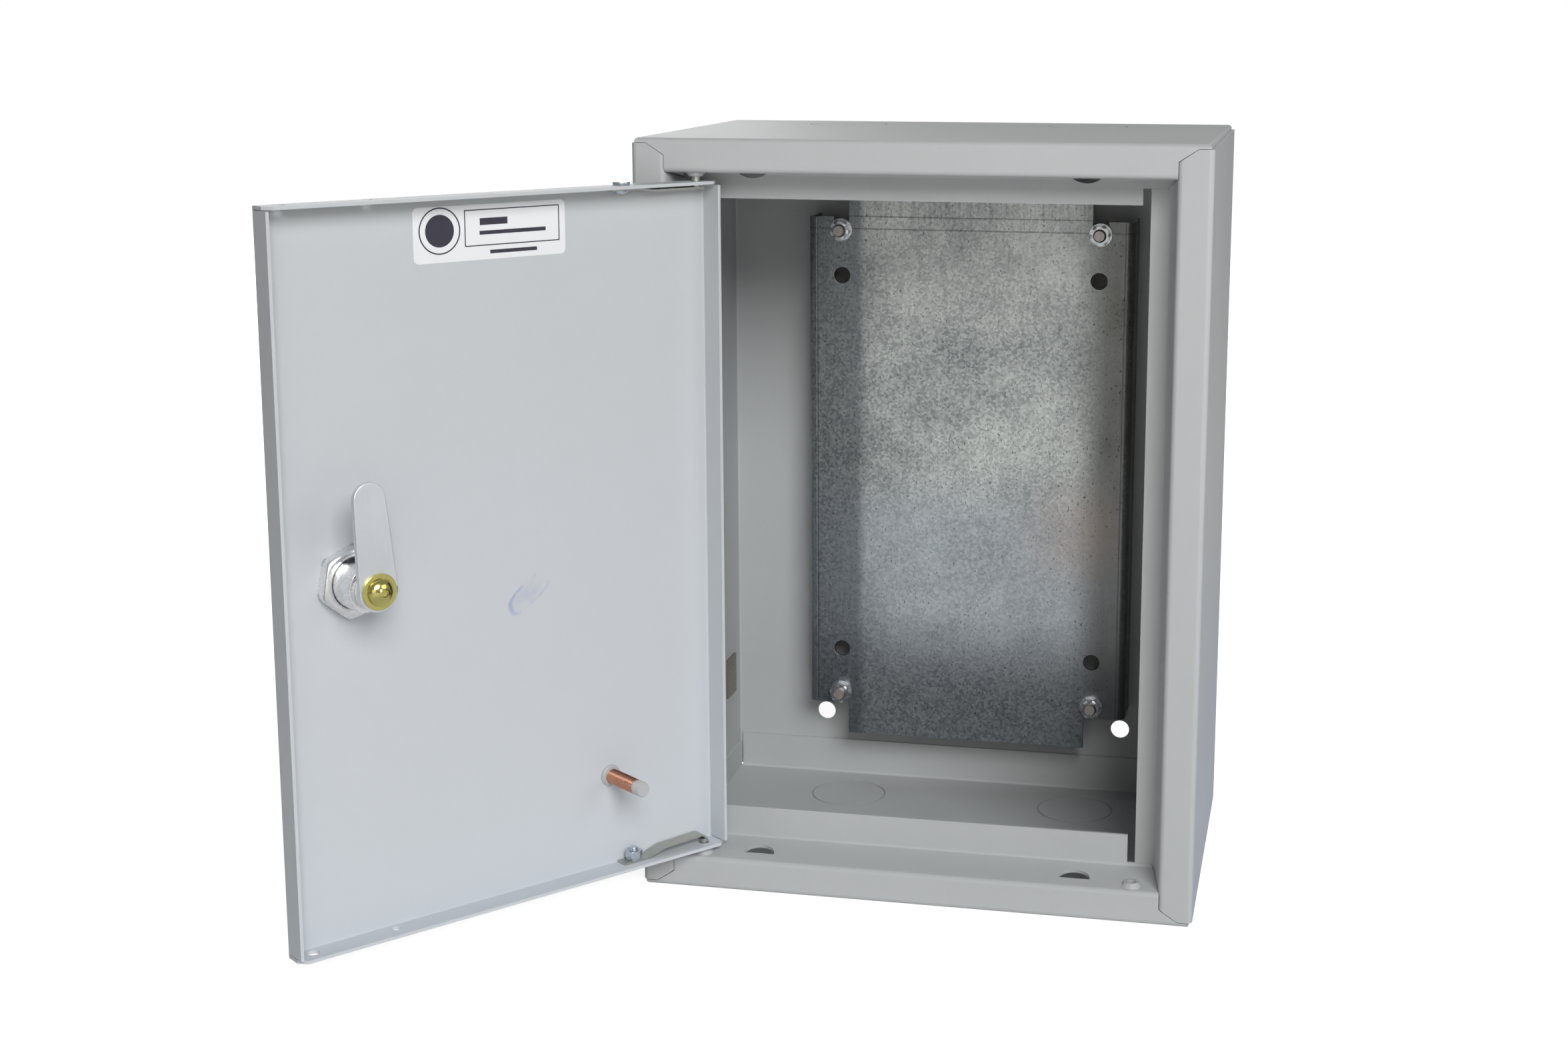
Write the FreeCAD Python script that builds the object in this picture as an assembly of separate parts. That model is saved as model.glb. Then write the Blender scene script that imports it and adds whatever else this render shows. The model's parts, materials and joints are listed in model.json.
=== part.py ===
import FreeCAD, Part
import math
import os

# Wall-mounted sheet-steel control cabinet with its door open: a wrapped shell, two end caps, a raised
# mounting plate on four welded studs, and a hinged door with a quarter-turn cam lock.
# Millimetres. +X is to the right seen from the front, +Z up, the front faces -Y.
# The origin is the centre of the four wall holes, on the cabinet's back face.

# Cabinet: outer sizes and sheet
cabinet_width = 220.0
cabinet_height = 300.0
cabinet_depth = 150.0
sheet = 1.2
bend_radius = 1.0              # inside radius of the cabinet's folded edges
end_step = 2.0                 # the caps stand this far beyond the ends of the wrapped shell
cap_flange = 13.0              # cap edges folded in beside the side walls
cap_rear_flange = 17.0         # cap edge folded in against the back wall
wall_gap = 0.3                 # free gap where two folded edges meet

# Front frame: a flat strip, a sloping rebate and a lip behind it
frame_strip = 13.0
rebate_depth = 19.0
rebate_rise = 3.5
upper_rebate_rise = 1.2        # the upper rebate is nearly level
side_lip = 7.5
top_lip = 9.8
bottom_lip = 12.5
lip_corner_gap = 3.0           # between the ends of the cap lips and the side lips
seam_gap = 0.2                 # weld seam between strips at the frame's corners
seam_reach = 5.8               # where the corner seam leaves the outer edge
seam_turn = 6.7                # where the seam turns from slanting to upright

# Holes in the caps
drain_radius = 6.2             # half-round holes in the lower rebate
drain_offset = 63.5
drain_front = 6.6
vent_radius = 8.8              # shallow half-moon holes at the root of the upper lip
vent_depth = 2.0
vent_offset = 64.5
vent_middle = -2.6             # the pair stands a little to the left
knockout_radius = 16.5
knockout_offset = 51.0
knockout_from_back = 30.0
knockout_groove = 0.6
knockout_cut = 0.4             # groove depth on each face

# Wall fixing
wall_hole_radius = 4.1
wall_hole_from_side = 42.5
wall_hole_from_end = 30.0

# Mounting plate
plate_sheet = 1.5
plate_from_side = 39.0         # plate's folded edge to the cabinet's side
plate_from_end = 26.5          # end of the plate's tab to the cabinet's end
plate_tab_length = 13.9
plate_tab_inset = 17.9         # tab narrower than the plate, at each side
plate_standoff = 19.3          # plate's front face to the back wall's inner face
plate_bend_radius = 2.0
plate_hole_radius = 3.5
plate_hole_from_side = 15.0
plate_hole_from_shoulder = 25.4

# M5 studs that carry the plate
stud_radius = 2.5
stud_from_tab_side = 3.2       # the slot opens the tab's side, so the stud stands beside the tab
stud_from_tab_end = 19.5
stud_proud = 6.7               # stud tip ahead of the plate's front face
slot_radius = 3.3
washer_radius = 5.0
washer_thickness = 1.0
nut_flats = 8.0
nut_height = 4.0
thread_gap = 0.05              # radial gap of nuts and washers on their threads

# Bare earthing plate welded to the left wall
earth_plate_depth = 14.0
earth_plate_height = 18.0
earth_plate_thickness = 1.0
earth_plate_from_back = 10.0
earth_plate_from_bottom = 40.0

# Door pan
door_gap = 3.5                 # door edge to the frame opening
door_flange = 11.0             # overall depth of the pan
door_bend_radius = 0.6
door_corner_clip = 3.0
door_corner_slit = 0.4
door_open_angle = 128.0

# Hinges: a spring strip bolted inside the pan, its pin through the flange into a boss in the rebate
hinge_inset = 7.5              # pin to the door's edge
hinge_from_front = 5.5
pin_radius = 1.7
pin_clearance = 0.08
pin_hole_radius = 2.2          # in the door's flanges
pin_end_gap = 0.6              # pin end beyond the rebate sheet
boss_radius = 4.2
boss_top_radius = 2.8
boss_height = 1.3
strip_width = 5.4
strip_sheet = 0.8
strip_inset = 1.0              # strip's and screw's middle, nearer the door's face than the pin
strip_screw_reach = 33.5       # pin to screw
strip_end = 6.0                # strip beyond the screw
strip_flat = 5.0               # strip before the screw that still lies flat
strip_rise = 3.3
strip_bend_radius = 2.2
strip_arch = 2.4               # height where the ramp eases off
strip_ramp = 8.0
upper_strip_rise = 1.0         # the upper strip lies almost flat
strip_pin_gap = 0.5            # strip's turned-down end above the flange
screw_radius = 1.75
screw_head_radius = 3.2
screw_head_height = 1.3
screw_end = 1.2                # screw beyond its nut
spring_washer_radius = 3.1
spring_washer_height = 0.9
spring_washer_split = 0.7
hinge_nut_flats = 6.0
hinge_nut_height = 2.8
rivet_dome_radius = 3.0        # the upper strip is riveted
rivet_dome_height = 1.5

# Door earth stud and inside label
door_stud_radius = 3.0
door_stud_length = 23.0
door_stud_collar_radius = 4.2
door_stud_collar_height = 1.4
door_stud_from_hinge_edge = 49.2
door_stud_from_bottom = 37.5
label_width = 63.0
label_height = 20.0
label_thickness = 0.15
label_corner = 2.0
label_from_top = 3.0
label_from_hinge_edge = 64.2

# Quarter-turn cam lock at mid height of the free edge
lock_from_edge = 29.9
lock_body_radius = 9.25
lock_flats = 16.0
lock_hole_gap = 0.15
lock_head_radius = 12.0
lock_head_height = 2.6
lock_nut_flats = 24.0
lock_nut_height = 5.5
lock_nut_bevel = 1.4           # taken off the nut's corners at its free face
core_radius = 6.5
core_clearance = 0.06
core_recess = 0.5
core_shoulder = 2.1            # core standing out of the lock body, up to the cam
core_shoulder_radius = 7.3
core_shoulder_gap = 0.1        # free gap between the shoulder and the lock body's end
core_square = 8.0
square_gap = 0.05
keyway_width = 1.6
keyway_height = 7.0
keyway_depth = 12.0
cam_thickness = 2.2
latch_gap = 0.5                # between the frame's lip and the cam
cam_length = 32.8              # lock axis to the centre of the cam's tip curve
cam_base_radius = 7.4
cam_tip_radius = 6.1
cam_tilt = 4.0
cam_washer_radius = 6.5
cam_washer_thickness = 0.8
cam_screw_radius = 2.5
cam_screw_head_radius = 4.9
cam_screw_head_height = 3.0
cam_screw_length = 10.0

# Worked-out places
half_width = cabinet_width / 2
half_height = cabinet_height / 2
front = -cabinet_depth
back_inner = -sheet
outer_radius = bend_radius + sheet
lip_face = front + rebate_depth
door_half_width = half_width - frame_strip - door_gap
door_half_height = half_height - frame_strip - door_gap
door_inner = front + sheet
hinge_x = -(door_half_width - hinge_inset)
hinge_y = front + hinge_from_front
strip_y = hinge_y - strip_inset
strip_seat = -door_half_height + sheet
screw_x = hinge_x + strip_screw_reach
wall_hole_x = half_width - wall_hole_from_side
wall_hole_z = half_height - wall_hole_from_end
plate_face = back_inner - plate_standoff
plate_x = half_width - plate_from_side
plate_tab_z = half_height - plate_from_end
plate_z = plate_tab_z - plate_tab_length
plate_tab_x = plate_x - plate_tab_inset
plate_hole_x = plate_x - plate_hole_from_side
plate_hole_z = plate_z - plate_hole_from_shoulder
stud_x = plate_tab_x + stud_from_tab_side
stud_z = plate_tab_z - stud_from_tab_end
lock_x = door_half_width - lock_from_edge
cam_face = lip_face + sheet + latch_gap
lock_body_back = cam_face - core_shoulder
corners = [("lower_left", -1, -1), ("lower_right", 1, -1), ("upper_left", -1, 1), ("upper_right", 1, 1)]

x_axis = FreeCAD.Vector(1, 0, 0)
y_axis = FreeCAD.Vector(0, 1, 0)
z_axis = FreeCAD.Vector(0, 0, 1)


def box(x, y, z):
    """A box from its three (low, high) ranges."""
    size = [high - low for low, high in (x, y, z)]
    return Part.makeBox(*size, FreeCAD.Vector(x[0], y[0], z[0]))


def cylinder(radius, length, base, axis):
    return Part.makeCylinder(radius, length, FreeCAD.Vector(*base), axis)


def prism(points, direction):
    """A polygon's straight extrusion."""
    vectors = [FreeCAD.Vector(*p) for p in points]
    return Part.Face(Part.makePolygon(vectors + vectors[:1])).extrude(direction)


def hexagon(flats, height, base, axis, turn=0.0):
    """A hexagonal nut's body along +Y or +Z, turned by so many degrees about that axis."""
    radius = flats / math.sqrt(3)
    across = z_axis if axis == y_axis else y_axis
    points = []
    for k in range(6):
        angle = math.radians(60 * k + turn)
        offset = x_axis * (radius * math.cos(angle)) + across * (radius * math.sin(angle))
        points.append(FreeCAD.Vector(*base) + offset)
    return prism(points, axis * height)


def dome_head(radius, height, base, axis):
    """A round head: an arc from the crown down to the rim, turned about the axis."""
    sphere_radius = (radius ** 2 + height ** 2) / (2 * height)
    half_angle = math.asin(radius / sphere_radius) / 2
    drop = sphere_radius * (1 - math.cos(half_angle))
    crown = base + axis * height
    middle = base + x_axis * (sphere_radius * math.sin(half_angle)) + axis * (height - drop)
    rim = base + x_axis * radius
    edges = [
        Part.Arc(crown, middle, rim).toShape(),
        Part.LineSegment(rim, base).toShape(),
        Part.LineSegment(base, crown).toShape(),
    ]
    return Part.Face(Part.Wire(edges)).revolve(base, axis, 360)


def chain_directions(points):
    return [(b - a).normalize() for a, b in zip(points, points[1:])]


def shifted_chain(points, distance):
    """The chain moved sideways to its right by distance, mitred at its corners."""
    ways = chain_directions(points)
    rights = [FreeCAD.Vector(w.y, -w.x, 0) for w in ways]
    result = [points[0] + rights[0] * distance]
    for k in range(1, len(points) - 1):
        middle = rights[k - 1] + rights[k]
        result.append(points[k] + middle * (distance / (1 + rights[k - 1].dot(rights[k]))))
    result.append(points[-1] + rights[-1] * distance)
    return result


def rounded_edges(points, radii, place):
    """Lines and tangent arcs along a chain; radii has one value for each inner corner, and place
    puts a flat point in space."""
    ways = chain_directions(points)
    edges, start = [], points[0]
    for k, radius in enumerate(radii, 1):
        before, after = ways[k - 1], ways[k]
        half_turn = before.getAngle(after) / 2
        reach = radius * math.tan(half_turn)
        entry, leave = points[k] - before * reach, points[k] + after * reach
        inward = (after - before).normalize()
        crown = points[k] + inward * (radius / math.cos(half_turn) - radius)
        edges.append(Part.LineSegment(place(start), place(entry)).toShape())
        edges.append(Part.Arc(place(entry), place(crown), place(leave)).toShape())
        start = leave
    edges.append(Part.LineSegment(place(start), place(points[-1])).toShape())
    return edges


def folded_sheet(points, thickness, inside_radius, plane, direction):
    """Sheet folded along a chain of flat points on its outer face, the metal to the chain's right.
    plane holds the flat points' origin and their two directions."""
    origin, across, along = plane

    def place(point):
        return origin + across * point.x + along * point.y

    face = [FreeCAD.Vector(u, v, 0) for u, v in points]
    hidden = shifted_chain(face, thickness)
    ways = chain_directions(face)
    face_radii, hidden_radii = [], []
    for before, after in zip(ways, ways[1:]):
        turns_right = before.cross(after).z < 0
        face_radii.append(inside_radius + thickness if turns_right else inside_radius)
        hidden_radii.append(inside_radius if turns_right else inside_radius + thickness)
    edges = rounded_edges(face, face_radii, place)
    edges.append(Part.LineSegment(place(face[-1]), place(hidden[-1])).toShape())
    edges += rounded_edges(hidden[::-1], hidden_radii[::-1], place)
    edges.append(Part.LineSegment(place(hidden[0]), place(face[0])).toShape())
    return Part.Face(Part.Wire(Part.__sortEdges__(edges))).extrude(direction)


def mirror_x(shape):
    return shape.mirror(FreeCAD.Vector(0, 0, 0), x_axis)


def mirror_z(shape):
    return shape.mirror(FreeCAD.Vector(0, 0, 0), z_axis)


def frame_zone(points):
    """Prism over the front frame's depth from (x, z) points."""
    reach = rebate_depth + 2 * outer_radius
    return prism([(x, front - 1, z) for x, z in points], y_axis * (reach + 1))


def seam_points(gap):
    """The frame's lower left corner seam, from the outer edge to the root of the lips."""
    edge, low = -half_width, -half_height
    root = frame_strip + rebate_rise
    return [
        (edge + seam_reach, low + end_step - gap),
        (edge + frame_strip - seam_gap + gap, low + seam_turn - gap),
        (edge + frame_strip - seam_gap + gap, low + frame_strip),
        (edge + root + sheet + gap, low + root + sheet),
    ]


def cabinet_shell():
    """Left wall, back and right wall in one sheet, with the frame's two side strips."""
    inner = half_width - frame_strip
    root = inner - rebate_rise
    left = [
        (-root + side_lip, lip_face),
        (-root, lip_face),
        (-inner, front),
        (-half_width, front),
        (-half_width, 0),
    ]
    right = [(-x, y) for x, y in reversed(left)]
    low = -half_height + end_step
    plane = (z_axis * low, x_axis, y_axis)
    shape = folded_sheet(left + right, sheet, bend_radius, plane, z_axis * (-2 * low))

    seam = seam_points(0.0)
    below = [(seam[0][0], -half_height - 1)] + seam
    cap_zone = frame_zone(below + [(-x, z) for x, z in reversed(below)])
    holes = [cap_zone, mirror_z(cap_zone)]
    for _, sx, sz in corners:
        base = (sx * wall_hole_x, -2 * sheet, sz * wall_hole_z)
        holes.append(cylinder(wall_hole_radius, 3 * sheet, base, y_axis))
    return shape.cut(holes)


def edge_rounder(sign):
    """Rounds the cap's long outer edge, where it is folded in beside a side wall."""
    x, z = sign * (half_width - sheet), -half_height
    radius = bend_radius + sheet / 2
    inside = sign * (half_width - sheet - radius)
    corner = box(sorted((x + sign, inside)), (front - 1, 1), (z - 1, z + radius))
    core = cylinder(radius, cabinet_depth + 2, (inside, front - 1, z + radius), y_axis)
    return corner.cut(core)


def knockout_grooves():
    """Ring cutters on both faces of the lower cap, one pair for each cable knock-out."""
    grooves = []
    height = 1 + knockout_cut
    for sign in (-1, 1):
        for z in (-half_height - 1, -half_height + sheet - knockout_cut):
            base = (sign * knockout_offset, -knockout_from_back, z)
            middle = cylinder(knockout_radius - knockout_groove, height, base, z_axis)
            grooves.append(cylinder(knockout_radius, height, base, z_axis).cut(middle))
    return grooves


def rebate_height(from_front, rise):
    """Height of the rebate's visible face above the cabinet's end."""
    return frame_strip + rise * from_front / rebate_depth


def end_cap(lip, rise, boss_places):
    """A cap folded on all four sides, as it lies at the lower end; the upper one is turned over."""
    low = -half_height
    profile = [
        (back_inner, low + cap_rear_flange),
        (back_inner, low),
        (front, low),
        (front, low + frame_strip),
        (lip_face, low + frame_strip + rise),
        (lip_face, low + frame_strip + rise + lip),
    ]
    edge = half_width - sheet
    plane = (x_axis * -edge, y_axis, z_axis)
    shape = folded_sheet(profile, sheet, bend_radius, plane, x_axis * (2 * edge))

    seam = seam_points(seam_gap)
    lip_end = -half_width + frame_strip + rebate_rise + side_lip + lip_corner_gap
    lip_height = low + frame_strip + rebate_rise + bottom_lip + 1
    above = [(lip_end, seam[-1][1]), (lip_end, lip_height), (-half_width - 1, lip_height)]
    side_zone = frame_zone([(-half_width - 1, seam[0][1])] + seam + above)
    rear = (back_inner - 2 * outer_radius, 1)
    rear_end = box((-half_width, -edge + sheet + wall_gap), rear, (low + sheet, low + cap_rear_flange + 1))
    shape = shape.cut([side_zone, mirror_x(side_zone), rear_end, mirror_x(rear_end)])

    flange_y = (front + outer_radius + wall_gap, back_inner - outer_radius - wall_gap)
    flange = box((-edge, -edge + sheet), flange_y, (low, low + cap_flange))
    shape = shape.fuse([flange, mirror_x(flange)])
    shape = shape.cut([edge_rounder(-1), edge_rounder(1)] + knockout_grooves())

    seat = low + rebate_height(hinge_from_front, rise)
    bosses, bores = [], []
    for x in boss_places:
        base = FreeCAD.Vector(x, hinge_y, seat - sheet / 2)
        bosses.append(Part.makeCone(boss_radius, boss_top_radius, boss_height + sheet / 2, base))
        bore_base = (x, hinge_y, seat - 2 * sheet)
        bores.append(cylinder(pin_radius + pin_clearance, boss_height + 3 * sheet, bore_base, z_axis))
    return shape.fuse(bosses).cut(bores).removeSplitter()


def bottom_cap():
    """Lower cap with two half-round drain holes in its rebate."""
    holes = []
    y = front + drain_front
    depth = (-half_height + frame_strip - 2 * sheet, -half_height + frame_strip + rebate_rise + sheet)
    for sign in (-1, 1):
        x = sign * drain_offset
        disc = cylinder(drain_radius, depth[1] - depth[0], (x, y, depth[0]), z_axis)
        holes.append(disc.common(box((x - drain_radius, x + drain_radius), (y, y + drain_radius), depth)))
    return end_cap(bottom_lip, rebate_rise, (hinge_x, -hinge_x)).cut(holes)


def top_cap():
    """Upper cap with two shallow half-moon holes at the root of its lip."""
    root = half_height - frame_strip - upper_rebate_rise
    y = (lip_face - sheet, lip_face + 2 * sheet)
    holes = []
    for sign in (-1, 1):
        x = vent_middle + sign * vent_offset
        disc = cylinder(vent_radius, 3 * sheet, (x, y[0], root - vent_depth + vent_radius), y_axis)
        holes.append(disc.common(box((x - vent_radius, x + vent_radius), y, (root - vent_radius, root))))
    return mirror_z(end_cap(top_lip, upper_rebate_rise, (hinge_x,))).cut(holes)


def mounting_plate():
    """Galvanised plate: side edges folded back to the wall, open slots for its studs, four device holes."""
    profile = [
        (plate_x, back_inner),
        (plate_x, plate_face),
        (-plate_x, plate_face),
        (-plate_x, back_inner),
    ]
    plane = (z_axis * -plate_z, x_axis, y_axis)
    shape = folded_sheet(profile, plate_sheet, plate_bend_radius, plane, z_axis * (2 * plate_z))

    tab_x = (-plate_tab_x, plate_tab_x)
    tab = box(tab_x, (plate_face, plate_face + plate_sheet), (-plate_tab_z, plate_tab_z))
    shape = shape.fuse(tab).removeSplitter()
    cuts = []
    start, length = plate_face - plate_sheet, 3 * plate_sheet
    for _, sx, sz in corners:
        x, z = sx * stud_x, sz * stud_z
        cuts.append(cylinder(slot_radius, length, (x, start, z), y_axis))
        slot_z = sorted((z, sz * (plate_tab_z + 1)))
        cuts.append(box((x - slot_radius, x + slot_radius), (start, start + length), slot_z))
        base = (sx * plate_hole_x, start, sz * plate_hole_z)
        cuts.append(cylinder(plate_hole_radius, length, base, y_axis))
    return shape.cut(cuts)


def plate_fixing(sx, sz):
    """One welded stud with its washer and nut."""
    x, z = sx * stud_x, sz * stud_z
    tip = plate_face - stud_proud
    nut_face = plate_face - washer_thickness - nut_height
    stud = cylinder(stud_radius, back_inner - tip, (x, tip, z), y_axis)
    bore = cylinder(stud_radius + thread_gap, plate_face - nut_face, (x, nut_face, z), y_axis)
    washer = cylinder(washer_radius, washer_thickness, (x, plate_face - washer_thickness, z), y_axis)
    nut = hexagon(nut_flats, nut_height, (x, nut_face, z), y_axis, turn=15 * sx + 20 * sz)
    return stud, washer.cut(bore), nut.cut(bore)


def side_earth_plate():
    """Bare plate for an earth connection, on the left wall near the back."""
    x = -half_width + sheet
    y = -earth_plate_from_back - sheet
    z = -half_height + earth_plate_from_bottom
    return box((x, x + earth_plate_thickness), (y - earth_plate_depth, y), (z, z + earth_plate_height))


def lock_bore(gap):
    """The double-flatted hole that a lock body passes through, gap wider all round."""
    half_flat = lock_flats / 2 + gap
    radius = lock_body_radius + gap
    y = (front - sheet, front + 2 * sheet)
    bore = cylinder(radius, 3 * sheet, (lock_x, y[0], 0), y_axis)
    return bore.common(box((lock_x - radius, lock_x + radius), y, (-half_flat, half_flat)))


def pan_block(half_wide, y_front, y_back, half_high, radius):
    """A block whose front face is rounded all round, like a folded pan."""
    block = box((-half_wide, half_wide), (y_front, y_back), (-half_high, half_high))
    return block.makeFillet(radius, [e for e in block.Edges if e.BoundBox.YMax < y_front + 0.01])


def door_pan():
    """Folded pan with hinge holes at both ends, so that it can be hung on either side."""
    back = front + door_flange
    inner_half_width, inner_half_height = door_half_width - sheet, door_half_height - sheet
    shape = pan_block(door_half_width, front, back, door_half_height, door_bend_radius + sheet)
    hollow = pan_block(inner_half_width, door_inner, back + 1, inner_half_height, door_bend_radius)
    shape = shape.cut(hollow)

    cuts = [lock_bore(lock_hole_gap)]
    for _, sx, sz in corners:
        x, z = sx * door_half_width, sz * door_half_height
        slit_z = sorted((sz * inner_half_height, sz * (inner_half_height - door_corner_slit)))
        slit_y = (door_inner + door_bend_radius, back + 1)
        cuts.append(box(sorted((x + sx, sx * inner_half_width - sx)), slit_y, slit_z))
        low = min(z, z - sz * sheet)
        clip = [
            (x + sx, back - door_corner_clip - 1, low),
            (x + sx, back + 1, low),
            (x - sx * (door_corner_clip + 1), back + 1, low),
        ]
        cuts.append(prism(clip, z_axis * sheet))
        pin_x = sx * (door_half_width - hinge_inset)
        cuts.append(cylinder(pin_hole_radius, 3 * sheet, (pin_x, hinge_y, z - 1.5 * sheet), z_axis))
        screw_base = (pin_x - sx * strip_screw_reach, strip_y, z - 1.5 * sheet)
        cuts.append(cylinder(screw_radius + thread_gap, 3 * sheet, screw_base, z_axis))
    return shape.cut(cuts)


def hinge_strip(profile, pin_root, rise):
    """A spring strip from its flat profile, with the pin that it pushes through the flange."""
    plane = (y_axis * (strip_y - strip_width / 2), x_axis, z_axis)
    strip = folded_sheet(profile, strip_sheet, strip_bend_radius, plane, y_axis * strip_width)
    pin_end = -half_height + rebate_height(hinge_from_front, rise) - sheet - pin_end_gap
    pin = cylinder(pin_radius, pin_root - pin_end, (hinge_x, hinge_y, pin_end), z_axis)
    pin = pin.makeChamfer(pin_radius / 4, [e for e in pin.Edges if e.BoundBox.ZMax < pin_end + 0.01])
    return strip.fuse(pin).cut(screw_bore(strip_seat, strip_sheet))


def screw_bore(low, height):
    return cylinder(screw_radius + thread_gap, height + 2 * sheet, (screw_x, strip_y, low - sheet), z_axis)


def lower_hinge():
    """A strip that arches up and turns down into its pin, with its screw, spring washer and nut."""
    leg_x = hinge_x + strip_sheet / 2
    profile = [
        (screw_x + strip_end, strip_seat),
        (screw_x - strip_flat, strip_seat),
        (screw_x - strip_flat - strip_ramp, strip_seat + strip_arch),
        (leg_x, strip_seat + strip_rise),
        (leg_x, strip_seat + strip_pin_gap),
    ]
    top = strip_seat + strip_sheet
    nut_seat = top + spring_washer_height
    screw_top = nut_seat + hinge_nut_height + screw_end
    head_z = -door_half_height - screw_head_height
    head = cylinder(screw_head_radius, screw_head_height, (screw_x, strip_y, head_z), z_axis)
    shank = cylinder(screw_radius, screw_top - head_z, (screw_x, strip_y, head_z), z_axis)
    bore = screw_bore(strip_seat, screw_top - strip_seat)
    ring = cylinder(spring_washer_radius, spring_washer_height, (screw_x, strip_y, top), z_axis).cut(bore)
    half_split = spring_washer_split / 2
    split_y = (strip_y - half_split, strip_y + half_split)
    washer = ring.cut(box((screw_x, screw_x + 2 * spring_washer_radius), split_y, (top, nut_seat)))
    nut = hexagon(hinge_nut_flats, hinge_nut_height, (screw_x, strip_y, nut_seat), z_axis)
    return {
        "hinge_strip_lower": hinge_strip(profile, strip_seat + strip_rise / 2, rebate_rise),
        "hinge_screw_lower": head.fuse(shank),
        "hinge_spring_washer_lower": washer,
        "hinge_nut_lower": nut.cut(bore),
    }


def upper_hinge():
    """A strip that lies almost flat, held by a low rivet, as it looks before it is turned over."""
    raised = strip_seat + upper_strip_rise
    profile = [
        (screw_x + strip_end, strip_seat),
        (screw_x - strip_flat, strip_seat),
        (screw_x - strip_flat - strip_ramp, raised),
        (hinge_x - strip_width / 2, raised),
    ]
    top = strip_seat + strip_sheet
    dome = dome_head(rivet_dome_radius, rivet_dome_height, FreeCAD.Vector(screw_x, strip_y, top), z_axis)
    head_z = -door_half_height - screw_head_height
    head = cylinder(screw_head_radius, screw_head_height, (screw_x, strip_y, head_z), z_axis)
    shank = cylinder(screw_radius, top - head_z, (screw_x, strip_y, head_z), z_axis)
    return {
        "hinge_strip_upper": mirror_z(hinge_strip(profile, raised + strip_sheet / 2, upper_rebate_rise)),
        "hinge_rivet_upper": mirror_z(head.fuse([shank, dome])),
    }


def door_earth_stud():
    """Stud welded inside the door, on a small painted collar."""
    x = -door_half_width + door_stud_from_hinge_edge
    base = (x, door_inner, -door_half_height + door_stud_from_bottom)
    stud = cylinder(door_stud_radius, door_stud_length, base, y_axis)
    collar = cylinder(door_stud_collar_radius, door_stud_collar_height, base, y_axis)
    return stud.fuse(collar).removeSplitter()


def inspection_label():
    """Thin printed label inside the door, near its upper edge."""
    x = -door_half_width + label_from_hinge_edge
    z = door_half_height - sheet - label_from_top
    label = box((x, x + label_width), (door_inner, door_inner + label_thickness), (z - label_height, z))
    short_edges = [e for e in label.Edges if e.Length < 2 * label_thickness]
    return label.makeFillet(label_corner, short_edges)


def lock_housing():
    """Lock body with its head outside the door, flatted where it passes through, bored for the core."""
    half_flat = lock_flats / 2
    start = front - lock_head_height
    body = cylinder(lock_body_radius, lock_body_back - front, (lock_x, front, 0), y_axis)
    flats_x = (lock_x - lock_body_radius, lock_x + lock_body_radius)
    body = body.common(box(flats_x, (front, lock_body_back), (-half_flat, half_flat)))
    head = cylinder(lock_head_radius, lock_head_height, (lock_x, start, 0), y_axis)
    head = head.makeChamfer(lock_head_height / 3, [e for e in head.Edges if e.BoundBox.YMax < start + 0.01])
    bore = cylinder(core_radius + core_clearance, lock_body_back - start, (lock_x, start, 0), y_axis)
    return body.fuse(head).cut(bore)


def lock_nut():
    """Large thin nut inside the door, bevelled on its free face."""
    base = FreeCAD.Vector(lock_x, door_inner, 0)
    nut = hexagon(lock_nut_flats, lock_nut_height, base, y_axis, turn=20)
    free_radius = lock_nut_flats / math.sqrt(3) - lock_nut_bevel
    bevel = Part.makeCone(free_radius + lock_nut_height, free_radius, lock_nut_height, base, y_axis)
    bore = cylinder(lock_body_radius + thread_gap, lock_nut_height, base, y_axis)
    return nut.common(bevel).cut(bore)


def lock_core():
    """Turning core: keyway at the front, a square for the cam behind its shoulder, tapped for a screw."""
    start = front - lock_head_height + core_recess
    core = cylinder(core_radius, cam_face - start, (lock_x, start, 0), y_axis)
    shoulder_start = lock_body_back + core_shoulder_gap
    shoulder_base = (lock_x, shoulder_start, 0)
    shoulder = cylinder(core_shoulder_radius, cam_face - shoulder_start, shoulder_base, y_axis)
    end = cam_face + cam_thickness
    half_square = core_square / 2
    square = box((lock_x - half_square, lock_x + half_square), (cam_face, end), (-half_square, half_square))
    keyway_x = (lock_x - keyway_width / 2, lock_x + keyway_width / 2)
    keyway = box(keyway_x, (start, start + keyway_depth), (-keyway_height / 2, keyway_height / 2))
    tapped_base = (lock_x, end - cam_screw_length, 0)
    tapped = cylinder(cam_screw_radius + thread_gap, cam_screw_length, tapped_base, y_axis)
    return core.fuse([shoulder, square]).removeSplitter().cut([keyway, tapped])


def lock_cam():
    """Tapered cam, rounded at both ends, pointing up."""
    slant = math.asin((cam_base_radius - cam_tip_radius) / cam_length)
    sides = []
    for radius, centre_z in ((cam_base_radius, 0), (cam_tip_radius, cam_length)):
        z = centre_z + radius * math.sin(slant)
        reach = radius * math.cos(slant)
        sides.append([FreeCAD.Vector(lock_x + sign * reach, cam_face, z) for sign in (-1, 1)])
    (left_low, right_low), (left_high, right_high) = sides
    low = FreeCAD.Vector(lock_x, cam_face, -cam_base_radius)
    high = FreeCAD.Vector(lock_x, cam_face, cam_length + cam_tip_radius)
    edges = [
        Part.Arc(left_low, low, right_low).toShape(),
        Part.LineSegment(right_low, right_high).toShape(),
        Part.Arc(right_high, high, left_high).toShape(),
        Part.LineSegment(left_high, left_low).toShape(),
    ]
    blade = Part.Face(Part.Wire(edges)).extrude(y_axis * cam_thickness)
    half_square = core_square / 2 + square_gap
    square_x = (lock_x - half_square, lock_x + half_square)
    return blade.cut(box(square_x, (cam_face, cam_face + cam_thickness), (-half_square, half_square)))


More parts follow.
